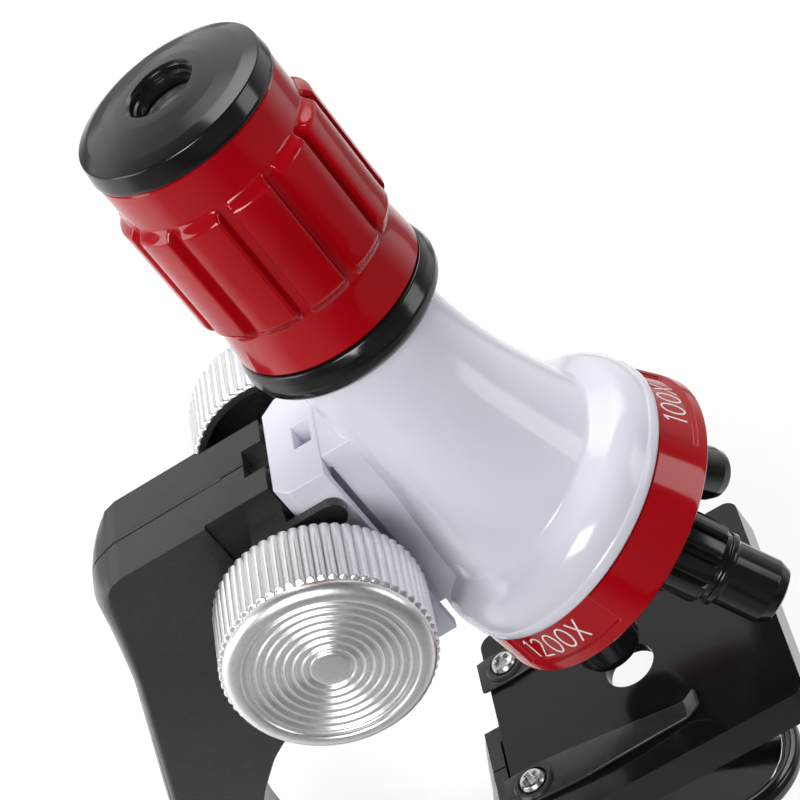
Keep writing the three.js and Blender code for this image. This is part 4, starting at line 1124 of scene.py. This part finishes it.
def stage_clip(side, sign):
    """A spring leaf that arches over the stage from its screw to an upturned tip."""
    low = STAGE["top"] + 0.3
    thick = 0.75
    spine = [
        (-31.2, 17.2, 0, 8.4),
        (-29.6, 17.2, 0, 8.9),
        (-25.1, 17.25, 0, 9.2),
        (-20.5, 17.6, 0.02, 9.2),
        (-15.0, 18.3, 0.25, 8.7),
        (-9.0, 18.9, 0.55, 7.6),
        (-3.0, 19.3, 0.62, 6.4),
        (2.5, 19.4, 0.42, 5.3),
        (6.0, 19.35, 0.12, 4.7),
        (8.0, 19.3, 0.08, 4.5),
        (8.9, 19.3, 0.30, 4.5),
        (9.9, 19.3, 0.85, 4.5),
        (11.6, 19.3, 1.85, 4.4),
    ]
    line = np.array(curve_through(spine, 5))
    ahead = unit(np.gradient(line[:, [0, 2]], axis=0))
    rows = []
    for (x, y, z, width), (dx, dz) in zip(line, ahead):
        section = rounded_rect(-width / 2, width / 2, 0, thick, 0.3, 3)
        rows.append([(x - dz * v, sign * (y + u), low + z + dx * v) for u, v in section])
    mesh = grid_mesh(rows)
    with editing(mesh) as edit:
        bmesh.ops.holes_fill(edit, edges=[e for e in edit.edges if e.is_boundary], sides=0)
        bmesh.ops.recalc_face_normals(edit, faces=edit.faces)
    dish_cut = cylinder(3.25, CLIP_X, sign * CLIP_Y, low + 0.45, low + 3, 48)
    hole = cylinder(1.7, CLIP_X, sign * CLIP_Y, low - 1, low + 3, 24)
    crown = low + 1.35
    pad = [(0, low), (4.3, low), (4.3, low + 1.0), (3.9, crown), (3.4, crown), (0, crown)]
    boss = outward(grid_mesh(spun(pad, 64)))
    boss.transform(Matrix.Translation((CLIP_X, sign * CLIP_Y, 0)))
    mesh = carve(mesh, [boss], [dish_cut, hole])
    piece = place(f"stage_clip_{side}_leaf", mesh, TUBE, SATIN)
    put_on(piece, f"clip_{side}", "satin_black", f"stage_clip_{side}")


# -------------------------------- mirror and lamp dish
def dish():
    profile = [
        (0, -2.8),
        (16.0, -2.8, 1.0),
        (18.4, -2.3, 1.5),
        (19.5, -0.6, 1.5),
        (19.5, 1.2, 1.2),
        (18.9, 2.5, 1.0),
        (17.6, 2.8, 0.8),
        (16.7, 2.3, 0.5),
        (16.4, 0.6, 0.2),
        (0, 0.6),
    ]
    rows = spun(filleted(profile, 0.3, 6), 128)
    pins = [cylinder_y(1.7, 0, 0, *sorted((s * 18.4, s * 22.8))) for s in (-1, 1)]
    mesh = carve(outward(grid_mesh(rows)), pins, [cylinder(3.0, 0, 0, -4, 0, 48)])
    piece = place("lamp_dish_skin", mesh, DISH, BLACK, 30)
    put_on(piece, "dish", "satin_black", "lamp_dish")
    glass = [(0, 0.9), (15.7, 0.9), (15.95, 1.1), (15.95, 1.5), (15.7, 1.7), (0, 1.7)]
    mirror = lathe("mirror_plate", glass, DISH, MIRROR, 128, 0.1, loop=False)
    put_on(mirror, "dish", "mirror_glass", "mirror")
    cover = [(3.4, -3.1), (7.0, -3.1), (6.8, -3.9), (6.0, -5.0), (3.2, -6.0), (0, -6.2)]
    cover += [(0, -5.0), (3.4, -4.2)]
    lens = lathe("lamp_lens_cover", cover, DISH, CLEAR, 64, 0.5)
    put_on(lens, "dish", "lens_clear", "lamp_lens")


# -------------------------------- CAD nodes that stay
KEPT_NODES = [  # material, width of the moulded edges (0 leaves them sharp), nodes
    (SATIN, 0.8, ["base_shell"]),
    (SATIN, 0.35, ["base_plate"]),
    (SATIN, 0.3, ["dish_fork", "turret_plate"]),
    (SATIN, 0.5, ["cell_cap_left", "cell_cap_right"]),
    (SATIN, 0, ["draw_tube", "eye_lens_retainer", "focus_rack"]),
    (RED, 0.3, ["lamp_switch"]),
    (ZINC, 0, ["focus_shaft", "cell_spring_left", "cell_spring_right"]),
    (ZINC, 0, ["cell_plate_left", "cell_plate_right"]),
    (ZINC, 0.3, ["hinge_bolt", "hinge_nut"]),
    (BRASS, 0, ["focus_pinion"]),
    (CLEAR, 0, ["field_lens", "lamp_led", *(f"objective_{size}_lens" for size in OBJECTIVES)]),
    (RUBBER, 0, ["foot_front_left", "foot_front_right", "foot_back_left", "foot_back_right"]),
    (CELL, 0, ["cell_left", "cell_right"]),
]


def soften(piece, width):
    """A CAD node keeps its shape and gets its moulded edges."""
    flat = piece.modifiers.new("flat", "DECIMATE")
    flat.decimate_type = "DISSOLVE"
    flat.angle_limit = math.radians(1)
    edges = piece.modifiers.new("edges", "BEVEL")
    edges.width = width * MM
    edges.segments = 3
    edges.limit_method = "ANGLE"
    edges.angle_limit = math.radians(35)


def dress_nodes():
    for material, width, nodes in KEPT_NODES:
        for node in nodes:
            piece = frame["nodes"][node]
            piece.data.materials.clear()
            piece.data.materials.append(material)
            if width:
                soften(piece, width)


# -------------------------------- studio
def surroundings():
    """Grey by height, dim in front, with a soft glow on the ceiling behind."""
    world = bpy.data.worlds.new("studio")
    world.use_nodes = True
    tree = Tree(world.node_tree)
    sight = tree.coordinates("Generated")
    parts = tree.split(sight)
    stops = [((z + 1) / 2, grey) for z, grey in SWEEP]
    sweep = tree.ramp(tree.rescaled(parts["Z"], -1.0), stops)
    behind = tree.ramp(parts["Y"], BEHIND)
    lit = tree.vector("MULTIPLY", sweep, behind)["Vector"]
    facing = tree.vector("DOT_PRODUCT", sight, GLOW)["Value"]
    glow = tree.ramp(facing, GLOW_STOPS)
    both = tree.vector("MULTIPLY_ADD", glow, (GLOW_STRENGTH,) * 3, lit)["Vector"]
    tree.feed(tree.nodes["Background"], {"Color": both, "Strength": 1.0})
    return world


def floor():
    x0, x1, y0, y1 = TABLE
    mesh = bpy.data.meshes.new("floor")
    corners = [(x0, y0), (x1, y0), (x1, y1), (x0, y1)]
    mesh.from_pydata([(x, y, TABLE_TOP) for x, y in corners], [], [(0, 1, 2, 3)])
    mesh.materials.append(floor_with_painted_shade())
    in_scene("floor", mesh)


def light(name, where, aim, size, power, spread):
    data = bpy.data.lights.new(name, "AREA")
    data.shape = "RECTANGLE"
    data.size, data.size_y = size
    data.energy = power
    data.spread = math.radians(spread)
    lamp = in_scene(name, data)
    lamp.location = where
    away = Vector(where) - Vector(aim)
    lamp.rotation_euler = away.to_track_quat("Z", "Y").to_euler()


def camera():
    data = bpy.data.cameras.new("camera")
    data.sensor_width = CAMERA_SENSOR
    data.lens = CAMERA_LENS
    made = in_scene("camera", data)
    made.location = TUBE.translation + Vector(CAMERA_PLACE) * MM
    made.rotation_euler = Vector(CAMERA_SIGHT).to_track_quat("-Z", "Y").to_euler()
    return made


def studio():
    scene = bpy.context.scene
    scene.view_settings.view_transform = "Standard"
    scene.view_settings.look = "None"
    scene.world = surroundings()
    floor()
    for row in LIGHTS:
        light(*row)
    scene.camera = camera()


def build():
    studio()
    eyepiece_cap()
    eye_lens()
    zoom_barrel()
    tube_collar()
    head_shell()
    head_block()
    for side, sign in (("left", -1), ("right", 1)):
        focus_knob(side, sign)
        arm_shell(side, sign)
        stage_clip(side, sign)
    turret_ring()
    for text, azimuth in (("100X", -2), ("400X", 118), ("1200X", 237)):
        figures(text, azimuth)
    for size in OBJECTIVES:
        objective(size)
    medium_grip()
    screws()
    stage()
    dish()
    dress_nodes()


build()
